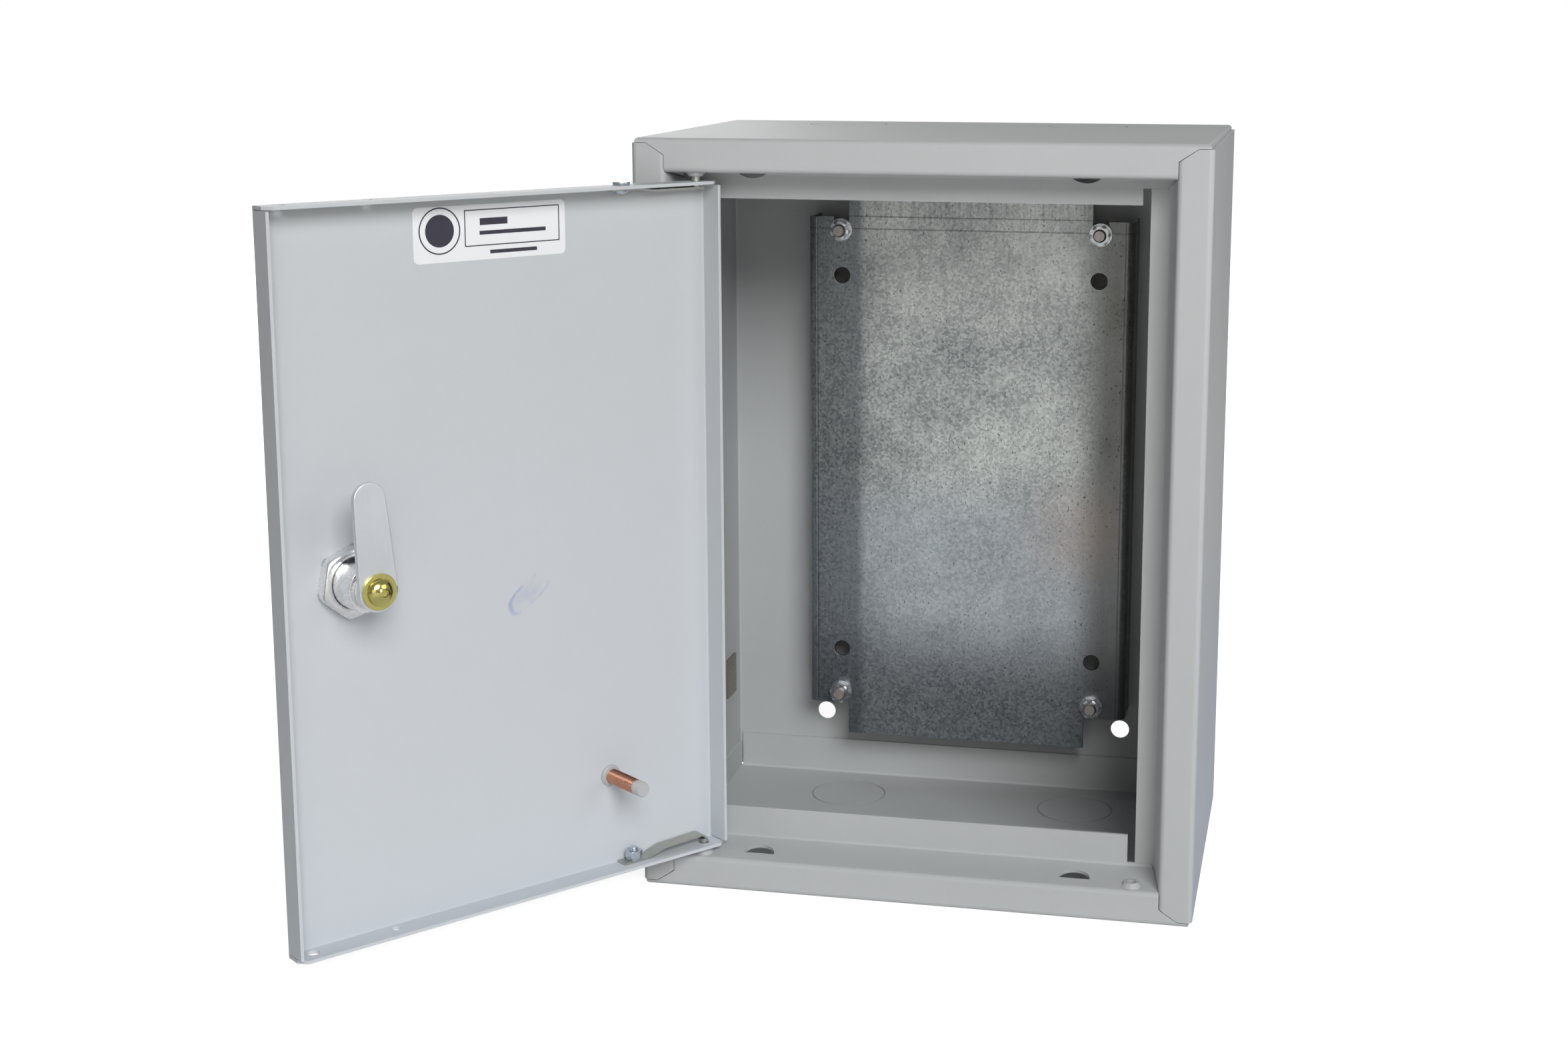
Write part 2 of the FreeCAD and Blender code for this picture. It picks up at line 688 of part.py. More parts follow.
def cam_fixing():
    """Washer and domed screw that hold the cam on the core."""
    seat = cam_face + cam_thickness
    bore = cylinder(cam_screw_radius + thread_gap, cam_washer_thickness, (lock_x, seat, 0), y_axis)
    washer = cylinder(cam_washer_radius, cam_washer_thickness, (lock_x, seat, 0), y_axis).cut(bore)
    head_seat = seat + cam_washer_thickness
    head_base = FreeCAD.Vector(lock_x, head_seat, 0)
    dome = dome_head(cam_screw_head_radius, cam_screw_head_height, head_base, y_axis)
    shank = cylinder(cam_screw_radius, cam_screw_length, (lock_x, head_seat - cam_screw_length, 0), y_axis)
    return washer, dome.fuse(shank)


def cabinet_pieces():
    pieces = {
        "cabinet_shell": cabinet_shell(),
        "bottom_cap": bottom_cap(),
        "top_cap": top_cap(),
        "mounting_plate": mounting_plate(),
        "side_earth_plate": side_earth_plate(),
    }
    for name, sx, sz in corners:
        stud, washer, nut = plate_fixing(sx, sz)
        pieces["plate_stud_" + name] = stud
        pieces["plate_washer_" + name] = washer
        pieces["plate_nut_" + name] = nut
    return pieces


def door_pieces():
    pieces = {
        "door_pan": door_pan(),
        "door_earth_stud": door_earth_stud(),
        "inspection_label": inspection_label(),
        "lock_housing": lock_housing(),
        "lock_nut": lock_nut(),
    }
    return {**pieces, **lower_hinge(), **upper_hinge()}


def cam_pieces():
    """The pieces that turn with the key, turned to where the cam was left."""
    washer, screw = cam_fixing()
    pieces = {"lock_core": lock_core(), "lock_cam": lock_cam(), "cam_washer": washer, "cam_screw": screw}
    for shape in pieces.values():
        shape.rotate(FreeCAD.Vector(lock_x, 0, 0), y_axis, cam_tilt)
    return pieces


def main():
    os.makedirs("parts", exist_ok=True)
    swinging = {**door_pieces(), **cam_pieces()}
    for shape in swinging.values():
        shape.rotate(FreeCAD.Vector(hinge_x, hinge_y, 0), z_axis, -door_open_angle)
    for name, shape in {**cabinet_pieces(), **swinging}.items():
        state = "valid" if shape.isValid() else "INVALID"
        print(name, len(shape.Solids), "solid", round(shape.Volume, 1), "mm3", state)
        shape.exportStep("parts/" + name + ".step")


main()
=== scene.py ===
import json
import math

import bmesh
import bpy
from mathutils import Matrix, Vector


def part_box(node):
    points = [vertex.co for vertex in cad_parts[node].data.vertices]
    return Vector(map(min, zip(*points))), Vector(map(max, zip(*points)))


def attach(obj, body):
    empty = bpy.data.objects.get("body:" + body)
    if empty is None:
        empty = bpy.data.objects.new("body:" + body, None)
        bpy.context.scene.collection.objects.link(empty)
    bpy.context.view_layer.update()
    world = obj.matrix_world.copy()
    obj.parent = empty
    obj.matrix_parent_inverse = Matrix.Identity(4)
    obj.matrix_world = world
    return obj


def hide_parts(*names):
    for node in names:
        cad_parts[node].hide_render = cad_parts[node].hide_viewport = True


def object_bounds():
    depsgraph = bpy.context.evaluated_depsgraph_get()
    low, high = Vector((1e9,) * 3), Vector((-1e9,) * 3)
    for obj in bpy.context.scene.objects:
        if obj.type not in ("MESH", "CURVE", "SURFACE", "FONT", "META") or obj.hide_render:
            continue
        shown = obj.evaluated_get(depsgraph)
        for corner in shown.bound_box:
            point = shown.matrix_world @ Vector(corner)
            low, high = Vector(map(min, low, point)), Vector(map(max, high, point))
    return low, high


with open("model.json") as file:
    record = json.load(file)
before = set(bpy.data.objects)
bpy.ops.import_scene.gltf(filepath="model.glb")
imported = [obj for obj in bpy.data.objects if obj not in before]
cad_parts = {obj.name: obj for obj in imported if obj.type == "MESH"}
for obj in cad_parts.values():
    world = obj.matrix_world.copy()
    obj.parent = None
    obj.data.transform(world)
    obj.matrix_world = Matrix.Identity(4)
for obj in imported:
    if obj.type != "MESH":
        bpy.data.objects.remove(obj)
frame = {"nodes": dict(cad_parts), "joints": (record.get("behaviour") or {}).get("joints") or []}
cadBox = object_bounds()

mm = 0.001
print("stage: frame loaded,", len(frame["nodes"]), "nodes")


# Places on the door and the cam are given with the door shut, then carried to where it stands open.
doorPlace = {
    "hinge": Vector(next(j["pos_m"] for j in frame["joints"] if j["name"] == "door_hinge")),
    "openAngle": math.radians(-128),
}
openDoor = (Matrix.Translation(doorPlace["hinge"])
            @ Matrix.Rotation(doorPlace["openAngle"], 4, "Z")
            @ Matrix.Translation(-doorPlace["hinge"]))


def shutBox(node):
    # the low and high corner and the middle of a door node, measured with the door shut
    back = openDoor.inverted()
    points = [back @ v.co for v in frame["nodes"][node].data.vertices]
    low = Vector(map(min, zip(*points)))
    high = Vector(map(max, zip(*points)))
    return low, high, (low + high) / 2


# helpers for node trees

def addNode(tree, kind, inputs=None, **settings):
    made = tree.nodes.new(kind)
    for name, value in settings.items():
        setattr(made, name, value)
    for key, value in (inputs or {}).items():
        if isinstance(value, bpy.types.NodeSocket):
            tree.links.new(value, made.inputs[key])
        else:
            made.inputs[key].default_value = value
    return made


def maths(tree, operation, *values):
    made = addNode(tree, "ShaderNodeMath", dict(enumerate(values)), operation=operation)
    return made.outputs[0]


def times(tree, *values):
    return maths(tree, "MULTIPLY", *values)


def plus(tree, *values):
    return maths(tree, "ADD", *values)


def minus(tree, *values):
    return maths(tree, "SUBTRACT", *values)


def scaled(tree, value, factor, offset):
    return maths(tree, "MULTIPLY_ADD", value, factor, offset)


def ramp(tree, value, start, end, low=0.0, high=1.0, smooth=True):
    # runs from low to high as the value goes from start to end
    made = addNode(tree, "ShaderNodeMapRange", {
        "Value": value, "From Min": start, "From Max": end, "To Min": low, "To Max": high},
        interpolation_type="SMOOTHSTEP" if smooth else "LINEAR")
    return made.outputs[0]


def newGroup(name, kind, inputs, outputs):
    tree = bpy.data.node_groups.new(name, kind)
    for label, (socketKind, value) in inputs.items():
        socket = tree.interface.new_socket(label, in_out="INPUT", socket_type="NodeSocket" + socketKind)
        if value is not None:
            socket.default_value = value
    for label, socketKind in outputs.items():
        tree.interface.new_socket(label, in_out="OUTPUT", socket_type="NodeSocket" + socketKind)
    given = tree.nodes.new("NodeGroupInput").outputs
    result = tree.nodes.new("NodeGroupOutput").inputs
    return tree, given, result


# helpers for meshes

def meshFrom(shape, name):
    mesh = bpy.data.meshes.new(name)
    shape.to_mesh(mesh)
    shape.free()
    return mesh


def linked(name, data):
    made = bpy.data.objects.new(name, data)
    bpy.context.scene.collection.objects.link(made)
    return made


def finishMesh(name, mesh, body, material=None, replaces=(), place=None, sharp=35):
    if place is not None:
        mesh.transform(place)
    if material is not None:
        mesh.materials.clear()
        mesh.materials.append(material)
    mesh.shade_smooth()
    mesh.set_sharp_from_angle(angle=math.radians(sharp))
    piece = linked(name, mesh)
    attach(piece, body)
    if replaces:
        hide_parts(*replaces)


def applied(piece):
    # the piece's mesh with its modifiers applied, and the modifiers taken off
    graph = bpy.context.evaluated_depsgraph_get()
    mesh = bpy.data.meshes.new_from_object(piece.evaluated_get(graph))
    piece.modifiers.clear()
    return mesh


def softened(node, name, body, slot, material, edge, segments=2):
    # the node's own shape with its sharp edges eased, so that they catch the light
    shape = bmesh.new()
    shape.from_mesh(frame["nodes"][node].data)
    bmesh.ops.remove_doubles(shape, verts=shape.verts, dist=0.001 * mm)
    bmesh.ops.dissolve_limit(shape, angle_limit=math.radians(0.6), verts=shape.verts, edges=shape.edges)
    mesh = meshFrom(shape, name)
    if "custom_normal" in mesh.attributes:
        mesh.attributes.remove(mesh.attributes["custom_normal"])
    mesh.shade_smooth()
    piece = linked(name, mesh)
    bevel = piece.modifiers.new("edge", "BEVEL")
    bevel.width = edge
    bevel.segments = segments
    bevel.limit_method = "ANGLE"
    bevel.angle_limit = math.radians(40)
    bevel.use_clamp_overlap = True
    weighted = piece.modifiers.new("flats", "WEIGHTED_NORMAL")
    weighted.keep_sharp = True
    piece.data = applied(piece)
    piece.data.name = name
    piece.data.materials.clear()
    piece.data.materials.append(material)
    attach(piece, body)
    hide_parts(node)


def revolve(profile, sides, acrossFlats=None, turn=0.0, softness=None):
    # a closed outline of (radius, height) swept round Z; acrossFlats trims it to a hexagon,
    # and softness rounds the corners between the outline and the flats
    shape = bmesh.new()
    rings = []
    for radius, height in profile:
        ring = []
        for k in range(sides):
            angle = 2 * math.pi * k / sides
            limited = radius
            if acrossFlats:
                lean = (angle + math.pi / 6) % (math.pi / 3) - math.pi / 6
                flat = acrossFlats / 2 / math.cos(lean)
                limited = min(radius, flat)
                if softness:
                    limited = (radius ** -softness + flat ** -softness) ** (-1 / softness)
            x, y = limited * math.cos(angle + turn), limited * math.sin(angle + turn)
            ring.append(shape.verts.new((x, y, height)))
        rings.append(ring)
    for low, high in zip(rings, rings[1:] + rings[:1]):
        for k in range(sides):
            after = (k + 1) % sides
            shape.faces.new((low[k], low[after], high[after], high[k]))
    bmesh.ops.remove_doubles(shape, verts=shape.verts, dist=0.001 * mm)
    bmesh.ops.recalc_face_normals(shape, faces=shape.faces)
    return meshFrom(shape, "revolved")


def hexNut(flats, height, bore, chamfer, turn=0.0):
    # hexagonal nut along +Z, coned at both faces, its bore countersunk
    corner = flats / math.sqrt(3)
    face = corner - chamfer
    steps = 5
    rise = chamfer * math.tan(math.radians(32))
    cone = [(face + chamfer * k / steps, rise * k / steps) for k in range(steps + 1)]
    sink = 0.35 * mm
    profile = [(bore, sink), (bore + sink, 0)] + cone
    profile += [(r, height - z) for r, z in reversed(cone)]
    profile += [(bore + sink, height), (bore, height - sink)]
    return revolve(profile, 96, flats, turn)


def roundRing(outer, inner, height, ease):
    # flat washer along +Z with eased edges
    profile = [
        (inner, ease), (inner + ease, 0), (outer - ease, 0), (outer, ease),
        (outer, height - ease), (outer - ease, height), (inner + ease, height), (inner, height - ease),
    ]
    return revolve(profile, 72)


print("stage: helpers ready")


# surface effects that several materials share

def coatGrainGroup():
    # powder coat: fine orange peel, and faint larger variation in tone
    tree, given, result = newGroup("coatGrain", "ShaderNodeTree", {
        "Vector": ("Vector", None), "Peel Size": ("Float", 0.8), "Mottle Size": ("Float", 40.0),
        "Mottle Depth": ("Float", 0.05),
    }, {"Height": "Float", "Tone": "Float"})
    peelScale = maths(tree, "DIVIDE", 1 / mm, given["Peel Size"])
    peel = addNode(tree, "ShaderNodeTexNoise", {
        "Vector": given["Vector"], "Scale": peelScale, "Detail": 2.0, "Roughness": 0.55})
    mottle = addNode(tree, "ShaderNodeTexNoise", {
        "Vector": given["Vector"], "Scale": maths(tree, "DIVIDE", 1 / mm, given["Mottle Size"]),
        "Detail": 4.0, "Roughness": 0.6})
    speckle = times(tree, minus(tree, peel.outputs[0], 0.5), 0.35)
    centred = plus(tree, minus(tree, mottle.outputs[0], 0.5), speckle)
    tree.links.new(peel.outputs[0], result["Height"])
    tree.links.new(scaled(tree, centred, given["Mottle Depth"], 1.0), result["Tone"])
    return tree


pitEdge = {"start": 0.78, "uneven": 0.25, "soft": 0.07}      # noise level where pits begin
grainShape = {"streakLength": 0.045, "pitLength": 0.55, "cloudScale": 26.0}


def metalGrainGroup():
    # plated or rolled metal: crystal patches, long streaks along Z and small dark pits
    tree, given, result = newGroup("metalGrain", "ShaderNodeTree", {
        "Vector": ("Vector", None), "Grain Size": ("Float", 1.2), "Streak Width": ("Float", 1.0),
        "Pit Size": ("Float", 1.0), "Pit Cover": ("Float", 0.2),
    }, {"Spangle": "Float", "Streak": "Float", "Pits": "Float", "Cloud": "Float"})
    grainScale = maths(tree, "DIVIDE", 1 / mm, given["Grain Size"])
    cells = addNode(tree, "ShaderNodeTexVoronoi", {
        "Vector": given["Vector"], "Scale": grainScale, "Randomness": 1.0})
    grey = addNode(tree, "ShaderNodeSeparateColor", {"Color": cells.outputs["Color"]})
    stretched = addNode(tree, "ShaderNodeMapping", {
        "Vector": given["Vector"], "Scale": (1.0, 1.0, grainShape["streakLength"])})
    streak = addNode(tree, "ShaderNodeTexNoise", {
        "Vector": stretched.outputs[0], "Scale": maths(tree, "DIVIDE", 1 / mm, given["Streak Width"]),
        "Detail": 3.0, "Roughness": 0.6})
    tall = addNode(tree, "ShaderNodeMapping", {
        "Vector": given["Vector"], "Scale": (1.0, 1.0, grainShape["pitLength"])})
    pitScale = maths(tree, "DIVIDE", 1 / mm, given["Pit Size"])
    pitNoise = addNode(tree, "ShaderNodeTexNoise", {
        "Vector": tall.outputs[0], "Scale": pitScale, "Detail": 1.0, "Roughness": 0.5})
    cloud = addNode(tree, "ShaderNodeTexNoise", {
        "Vector": given["Vector"], "Scale": grainShape["cloudScale"], "Detail": 4.0, "Roughness": 0.6})
    start = minus(tree, pitEdge["start"], given["Pit Cover"])
    centred = minus(tree, 0.5, cloud.outputs[0])
    deeper = scaled(tree, centred, pitEdge["uneven"], start)
    pits = ramp(tree, pitNoise.outputs[0], deeper, plus(tree, deeper, pitEdge["soft"]))
    tree.links.new(grey.outputs[0], result["Spangle"])
    tree.links.new(streak.outputs[0], result["Streak"])
    tree.links.new(pits, result["Pits"])
    tree.links.new(cloud.outputs[0], result["Cloud"])
    return tree


def pressLineGroup():
    # a soft line where one coordinate, or a distance, is at its centre
    tree, given, result = newGroup("pressLine", "ShaderNodeTree", {
        "Coordinate": ("Float", 0.0), "Centre": ("Float", 0.0), "Half Width": ("Float", 0.5 * mm),
    }, {"Mask": "Float"})
    off = maths(tree, "ABSOLUTE", minus(tree, given["Coordinate"], given["Centre"]))
    tree.links.new(ramp(tree, off, given["Half Width"], 0.0), result["Mask"])
    return tree


coatGrain = coatGrainGroup()
metalGrain = metalGrainGroup()
pressLine = pressLineGroup()


def placeGroup(tree, group, **values):
    made = tree.nodes.new("ShaderNodeGroup")
    made.node_tree = group
    for label, value in values.items():
        socket = made.inputs[label.replace("_", " ")]
        if isinstance(value, bpy.types.NodeSocket):
            tree.links.new(value, socket)
        else:
            socket.default_value = value
    return made.outputs


def newMaterial(name, **fixed):
    made = bpy.data.materials.new(name)
    made.use_nodes = True
    tree = made.node_tree
    shader = tree.nodes["Principled BSDF"]
    for label, value in fixed.items():
        shader.inputs[label.replace("_", " ")].default_value = value
    return made, tree, shader


def feed(tree, shader, **values):
    for label, value in values.items():
        tree.links.new(value, shader.inputs[label.replace("_", " ")])


def objectPlace(tree, onDoor=False):
    # Object coordinates; on the door they are turned back to the shut door, from the hinge
    start = addNode(tree, "ShaderNodeTexCoord").outputs["Object"]
    if not onDoor:
        return start
    turned = addNode(tree, "ShaderNodeMapping", {
        "Vector": start, "Location": doorPlace["hinge"], "Rotation": (0, 0, doorPlace["openAngle"])},
        vector_type="TEXTURE")
    return turned.outputs[0]


def colourMix(tree, factor, first, second):
    made = tree.nodes.new("ShaderNodeMix")
    made.data_type = "RGBA"
    for key, value in ((0, factor), (6, first), (7, second)):
        if isinstance(value, bpy.types.NodeSocket):
            tree.links.new(value, made.inputs[key])
        else:
            made.inputs[key].default_value = value if key == 0 else (*value, 1)
    return made.outputs[2]


def bumped(tree, shader, height, distance, strength):
    bump = addNode(tree, "ShaderNodeBump", {"Height": height, "Distance": distance, "Strength": strength})
    tree.links.new(bump.outputs[0], shader.inputs["Normal"])


# materials

paint = {
    "colour": (0.545, 0.555, 0.560),
    "shade": (0.475, 0.485, 0.490),
    "ink": (0.30, 0.34, 0.55),
    "peelSize": 0.75, "peelHeight": 0.035 * mm, "peelStrength": 0.8,
    "mottleSize": 45.0, "mottleDepth": 0.55,
    "roughFrom": 0.28, "roughSpread": 0.22,
    # painted light: the door's inside is made paler and bluer towards its foot
    "doorPaintedLightColour": (0.625, 0.655, 0.70), "doorPaintedLightHeights": (0.12, -0.14), "doorPaintedLightLeast": 0.25,
    "insideOf": -0.0049,                  # door's inner face begins here, from the hinge
    # painted shade: the outer right side is made darker and bluer towards its foot
    "paintedShadeBlue": (0.43, 0.48, 0.60), "paintedShadeBlueAmount": 0.55, "paintedShadeBlueHeights": (0.04, -0.13), "paintedShadeBlueFrom": 0.1095,
    "knockouts": ((-0.051, -0.030), (0.051, -0.030)),      # centres on the bottom, across and deep
    # the rings' darkening in colour is painted shade in the grooves; knockoutDepth is their bump
    "knockoutRadius": 16.2 * mm, "knockoutLine": 0.7 * mm, "knockoutPaintedShadeAmount": 0.35, "knockoutDepth": 3.0,
    "knockoutGroovePaintedShade": (0.20, 0.205, 0.21), "bottomHeights": (-0.1493, -0.1475),
}
ink = {
    "centre": (-0.0095, -0.0170),         # on the door, across and up
    "turn": math.radians(35), "halfWidth": 9.5 * mm, "halfHeight": 4.2 * mm, "squareness": 2.6,
    "wobble": 0.5, "wobbleScale": 130.0, "patchy": (0.42, 0.62),
    "lineWidth": 0.28, "lineAmount": 0.6, "washFrom": 1.3, "washTo": 0.3, "washAmount": 0.24,
    "faceFrom": -0.0030, "faceTo": -0.0040,
}


def paintMaterial(name, onDoor):
    made, tree, shader = newMaterial(name, Roughness=0.5, Specular_IOR_Level=0.3)
    place = objectPlace(tree, onDoor)
    grain = placeGroup(tree, coatGrain, Vector=place, Peel_Size=paint["peelSize"],
                       Mottle_Size=paint["mottleSize"], Mottle_Depth=paint["mottleDepth"])
    blend = minus(tree, grain["Tone"], 0.5)
    colour = colourMix(tree, blend, paint["shade"], paint["colour"])
    relief = grain["Height"]
    if onDoor:
        colour = inkSmudge(tree, place, doorFootPaintedLight(tree, place, colour))
    else:
        colour, relief = cabinetPaintedShadeAndRings(tree, place, colour, relief)
    rough = scaled(tree, grain["Tone"], paint["roughSpread"], paint["roughFrom"])
    feed(tree, shader, Base_Color=colour, Roughness=rough)
    bumped(tree, shader, relief, paint["peelHeight"], paint["peelStrength"])
    return made


def doorFootPaintedLight(tree, place, colour):
    # painted light: the inside of the door is painted paler and cooler towards its foot
    parts = addNode(tree, "ShaderNodeSeparateXYZ", {"Vector": place})
    # painted light, stronger towards the foot of the door's inside
    lower = ramp(tree, parts.outputs[2], *paint["doorPaintedLightHeights"], paint["doorPaintedLightLeast"], smooth=False)
    inside = maths(tree, "GREATER_THAN", parts.outputs[1], paint["insideOf"])
    return colourMix(tree, times(tree, lower, inside), colour, paint["doorPaintedLightColour"])


def cabinetPaintedShadeAndRings(tree, place, colour, relief):
    # painted shade: the outer right side turns darker and cooler towards its foot; two faint rings are
    # pressed in the bottom, their grooves darkened with painted shade
    across, deep, up = addNode(tree, "ShaderNodeSeparateXYZ", {"Vector": place}).outputs
    # painted shade towards the foot of the outer right side
    low = ramp(tree, up, *paint["paintedShadeBlueHeights"], high=paint["paintedShadeBlueAmount"])
    outside = maths(tree, "GREATER_THAN", across, paint["paintedShadeBlueFrom"])
    colour = colourMix(tree, times(tree, low, outside), colour, paint["paintedShadeBlue"])
    bottom, top = paint["bottomHeights"]
    onBottom = times(tree, maths(tree, "LESS_THAN", up, top), maths(tree, "GREATER_THAN", up, bottom))
    flat = addNode(tree, "ShaderNodeCombineXYZ", {0: across, 1: deep}).outputs[0]
    for centre in paint["knockouts"]:
        apart = addNode(tree, "ShaderNodeVectorMath", {0: flat, 1: (*centre, 0.0)}, operation="DISTANCE")
        ring = placeGroup(tree, pressLine, Coordinate=apart.outputs["Value"],
                          Centre=paint["knockoutRadius"], Half_Width=paint["knockoutLine"])["Mask"]
        ring = times(tree, ring, onBottom)
        # painted shade darkens each ring's groove
        shaded = times(tree, ring, paint["knockoutPaintedShadeAmount"])
        colour = colourMix(tree, shaded, colour, paint["knockoutGroovePaintedShade"])
        relief = minus(tree, relief, times(tree, ring, paint["knockoutDepth"]))
    return colour, relief


def inkSmudge(tree, place, colour):
    # a faint rubbed inspection mark on the door's inside: a slanted loop and a wash of the same ink
    across, up = ink["centre"]
    own = addNode(tree, "ShaderNodeMapping", {
        "Vector": place, "Location": (across - doorPlace["hinge"].x, 0, up),
        "Rotation": (0, ink["turn"], 0)}, vector_type="TEXTURE").outputs[0]
    wobble = addNode(tree, "ShaderNodeTexNoise", {
        "Vector": own, "Scale": ink["wobbleScale"], "Detail": 3.0}).outputs[0]
    parts = addNode(tree, "ShaderNodeSeparateXYZ", {"Vector": own})
    powers = []
    for output, reach in ((0, ink["halfWidth"]), (2, ink["halfHeight"])):
        share = maths(tree, "ABSOLUTE", maths(tree, "DIVIDE", parts.outputs[output], reach))
        powers.append(maths(tree, "POWER", share, ink["squareness"]))
    radius = maths(tree, "SQRT", plus(tree, *powers))
    radius = scaled(tree, minus(tree, wobble, 0.5), ink["wobble"], radius)
    fromLoop = maths(tree, "ABSOLUTE", minus(tree, radius, 1.0))
    line = ramp(tree, fromLoop, ink["lineWidth"], 0.0)
    wash = ramp(tree, radius, ink["washFrom"], ink["washTo"])
    patchy = ramp(tree, wobble, *ink["patchy"], smooth=False)
    near = ramp(tree, parts.outputs[1], ink["faceFrom"], ink["faceTo"], smooth=False)
    near = times(tree, near, maths(tree, "GREATER_THAN", parts.outputs[1], paint["insideOf"]))
    washed = times(tree, wash, ink["washAmount"])
    amount = scaled(tree, line, ink["lineAmount"], washed)
    amount = times(tree, times(tree, amount, patchy), near)
    return colourMix(tree, amount, colour, paint["ink"])


zinc = {
    "light": (0.78, 0.81, 0.79), "dark": (0.22, 0.24, 0.25), "pit": (0.075, 0.08, 0.085),
    "grainSize": 0.95, "streakWidth": 1.2, "pitSize": 0.85, "pitCover": 0.115, "pitAmount": 0.7,
    "spangle": 0.55, "cloud": 1.5, "shift": -0.50, "streak": 0.25, "streakAtEdges": 0.9,
    # zones of painted reflection and shade: along X (0) or Z (2), where it starts and ends, amount, colour
    "paintedReflectionZones": (
        # painted cool reflection in the middle
        (2, (0.005, -0.030), 0.35, (0.56, 0.64, 0.76)),      # cooler middle
        # painted shade in the left and right bands
        (0, (-0.044, -0.050), 0.62, (0.13, 0.15, 0.17)),     # shaded left band
        (0, (0.042, 0.062), 0.85, (0.15, 0.15, 0.14)),       # shaded right band
        # painted dark reflection at the foot
        (2, (-0.060, -0.100), 0.55, (0.12, 0.13, 0.14)),     # dark foot
    ),
    "zoneUneven": 0.8, "zoneEven": 0.6,
    # painted warm reflection on the plate, right of and below its middle
    "warmPlace": (0.046, -0.0045, -0.027), "warmReach": 0.036, "warmPaintedReflection": (0.52, 0.34, 0.24), "warmAmount": 1.0,
    "edgeFrom": (0.050, 0.070), "tabFrom": (0.104, 0.110),      # where the streaks are strong
    "pressLines": (110.0 * mm, 104.6 * mm), "pressWidth": 0.55 * mm,      # across the upper tab
    "bendLine": 67.0 * mm, "bendWidth": 0.5 * mm,                         # beside each folded edge
    "lineAmount": 0.55, "lineDepth": 2.0, "relief": 0.03 * mm, "reliefStrength": 0.6,
    "roughFrom": 0.30, "roughSpangle": 0.16, "roughPits": 0.2,
}


def plateToneAndPaintedReflections(tree, place, parts, grain):
    # crystals, clouds and streaks, then the zones of painted reflection and shade and the painted warm
    # reflection
    streaked = maths(tree, "MAXIMUM",
                     ramp(tree, maths(tree, "ABSOLUTE", parts[0]), *zinc["edgeFrom"], smooth=False),
                     ramp(tree, parts[2], *zinc["tabFrom"], smooth=False))
    clouds = scaled(tree, grain["Cloud"], zinc["cloud"], zinc["shift"])
    patches = scaled(tree, grain["Spangle"], zinc["spangle"], clouds)
    strength = scaled(tree, streaked, zinc["streakAtEdges"], zinc["streak"])
    patches = scaled(tree, minus(tree, grain["Streak"], 0.5), strength, patches)
    colour = colourMix(tree, patches, zinc["dark"], zinc["light"])
    uneven = scaled(tree, grain["Cloud"], zinc["zoneUneven"], zinc["zoneEven"])
    # painted reflections and shade laid over the plate's own colour
    for axis, (start, end), amount, shade in zinc["paintedReflectionZones"]:
        share = times(tree, uneven, amount)
        zone = times(tree, ramp(tree, parts[axis], start, end), share)
        colour = colourMix(tree, zone, colour, shade)
    # painted warm reflection
    apart = addNode(tree, "ShaderNodeVectorMath", {0: place, 1: zinc["warmPlace"]}, operation="DISTANCE")
    warmPaintedReflection = ramp(tree, apart.outputs["Value"], zinc["warmReach"], 0.0, high=zinc["warmAmount"])
    return colourMix(tree, times(tree, warmPaintedReflection, grain["Cloud"]), colour, zinc["warmPaintedReflection"])


def galvanisedMaterial():
    made, tree, shader = newMaterial("galvanisedPlate", Metallic=0.9)
    place = objectPlace(tree)
    grain = placeGroup(tree, metalGrain, Vector=place, Grain_Size=zinc["grainSize"],
                       Streak_Width=zinc["streakWidth"], Pit_Size=zinc["pitSize"],
                       Pit_Cover=zinc["pitCover"])
    parts = addNode(tree, "ShaderNodeSeparateXYZ", {"Vector": place}).outputs
    colour = plateToneAndPaintedReflections(tree, place, parts, grain)
    pitted = times(tree, grain["Pits"], zinc["pitAmount"])
    colour = colourMix(tree, pitted, colour, zinc["pit"])
    lines = placeGroup(tree, pressLine, Coordinate=maths(tree, "ABSOLUTE", parts[0]),
                       Centre=zinc["bendLine"], Half_Width=zinc["bendWidth"])["Mask"]
    for height in zinc["pressLines"]:
        mark = placeGroup(tree, pressLine, Coordinate=parts[2], Centre=height,
                          Half_Width=zinc["pressWidth"])
        lines = maths(tree, "MAXIMUM", lines, mark["Mask"])
    lined = times(tree, lines, zinc["lineAmount"])
    colour = colourMix(tree, lined, colour, zinc["pit"])
    rough = scaled(tree, grain["Spangle"], zinc["roughSpangle"], zinc["roughFrom"])
    rough = scaled(tree, grain["Pits"], zinc["roughPits"], rough)
    feed(tree, shader, Base_Color=colour, Roughness=rough)
    height = minus(tree, times(tree, grain["Spangle"], 0.5), grain["Pits"])
    height = minus(tree, height, times(tree, lines, zinc["lineDepth"]))
    bumped(tree, shader, height, zinc["relief"], zinc["reliefStrength"])
    return made


plated = {
    "grainSize": 0.8, "streakWidth": 0.35, "pitSize": 0.6, "pitCover": 0.05, "streak": 0.35, "shift": 0.1,
    "roughSpread": 0.4, "relief": 0.006 * mm, "reliefStrength": 0.5,
}


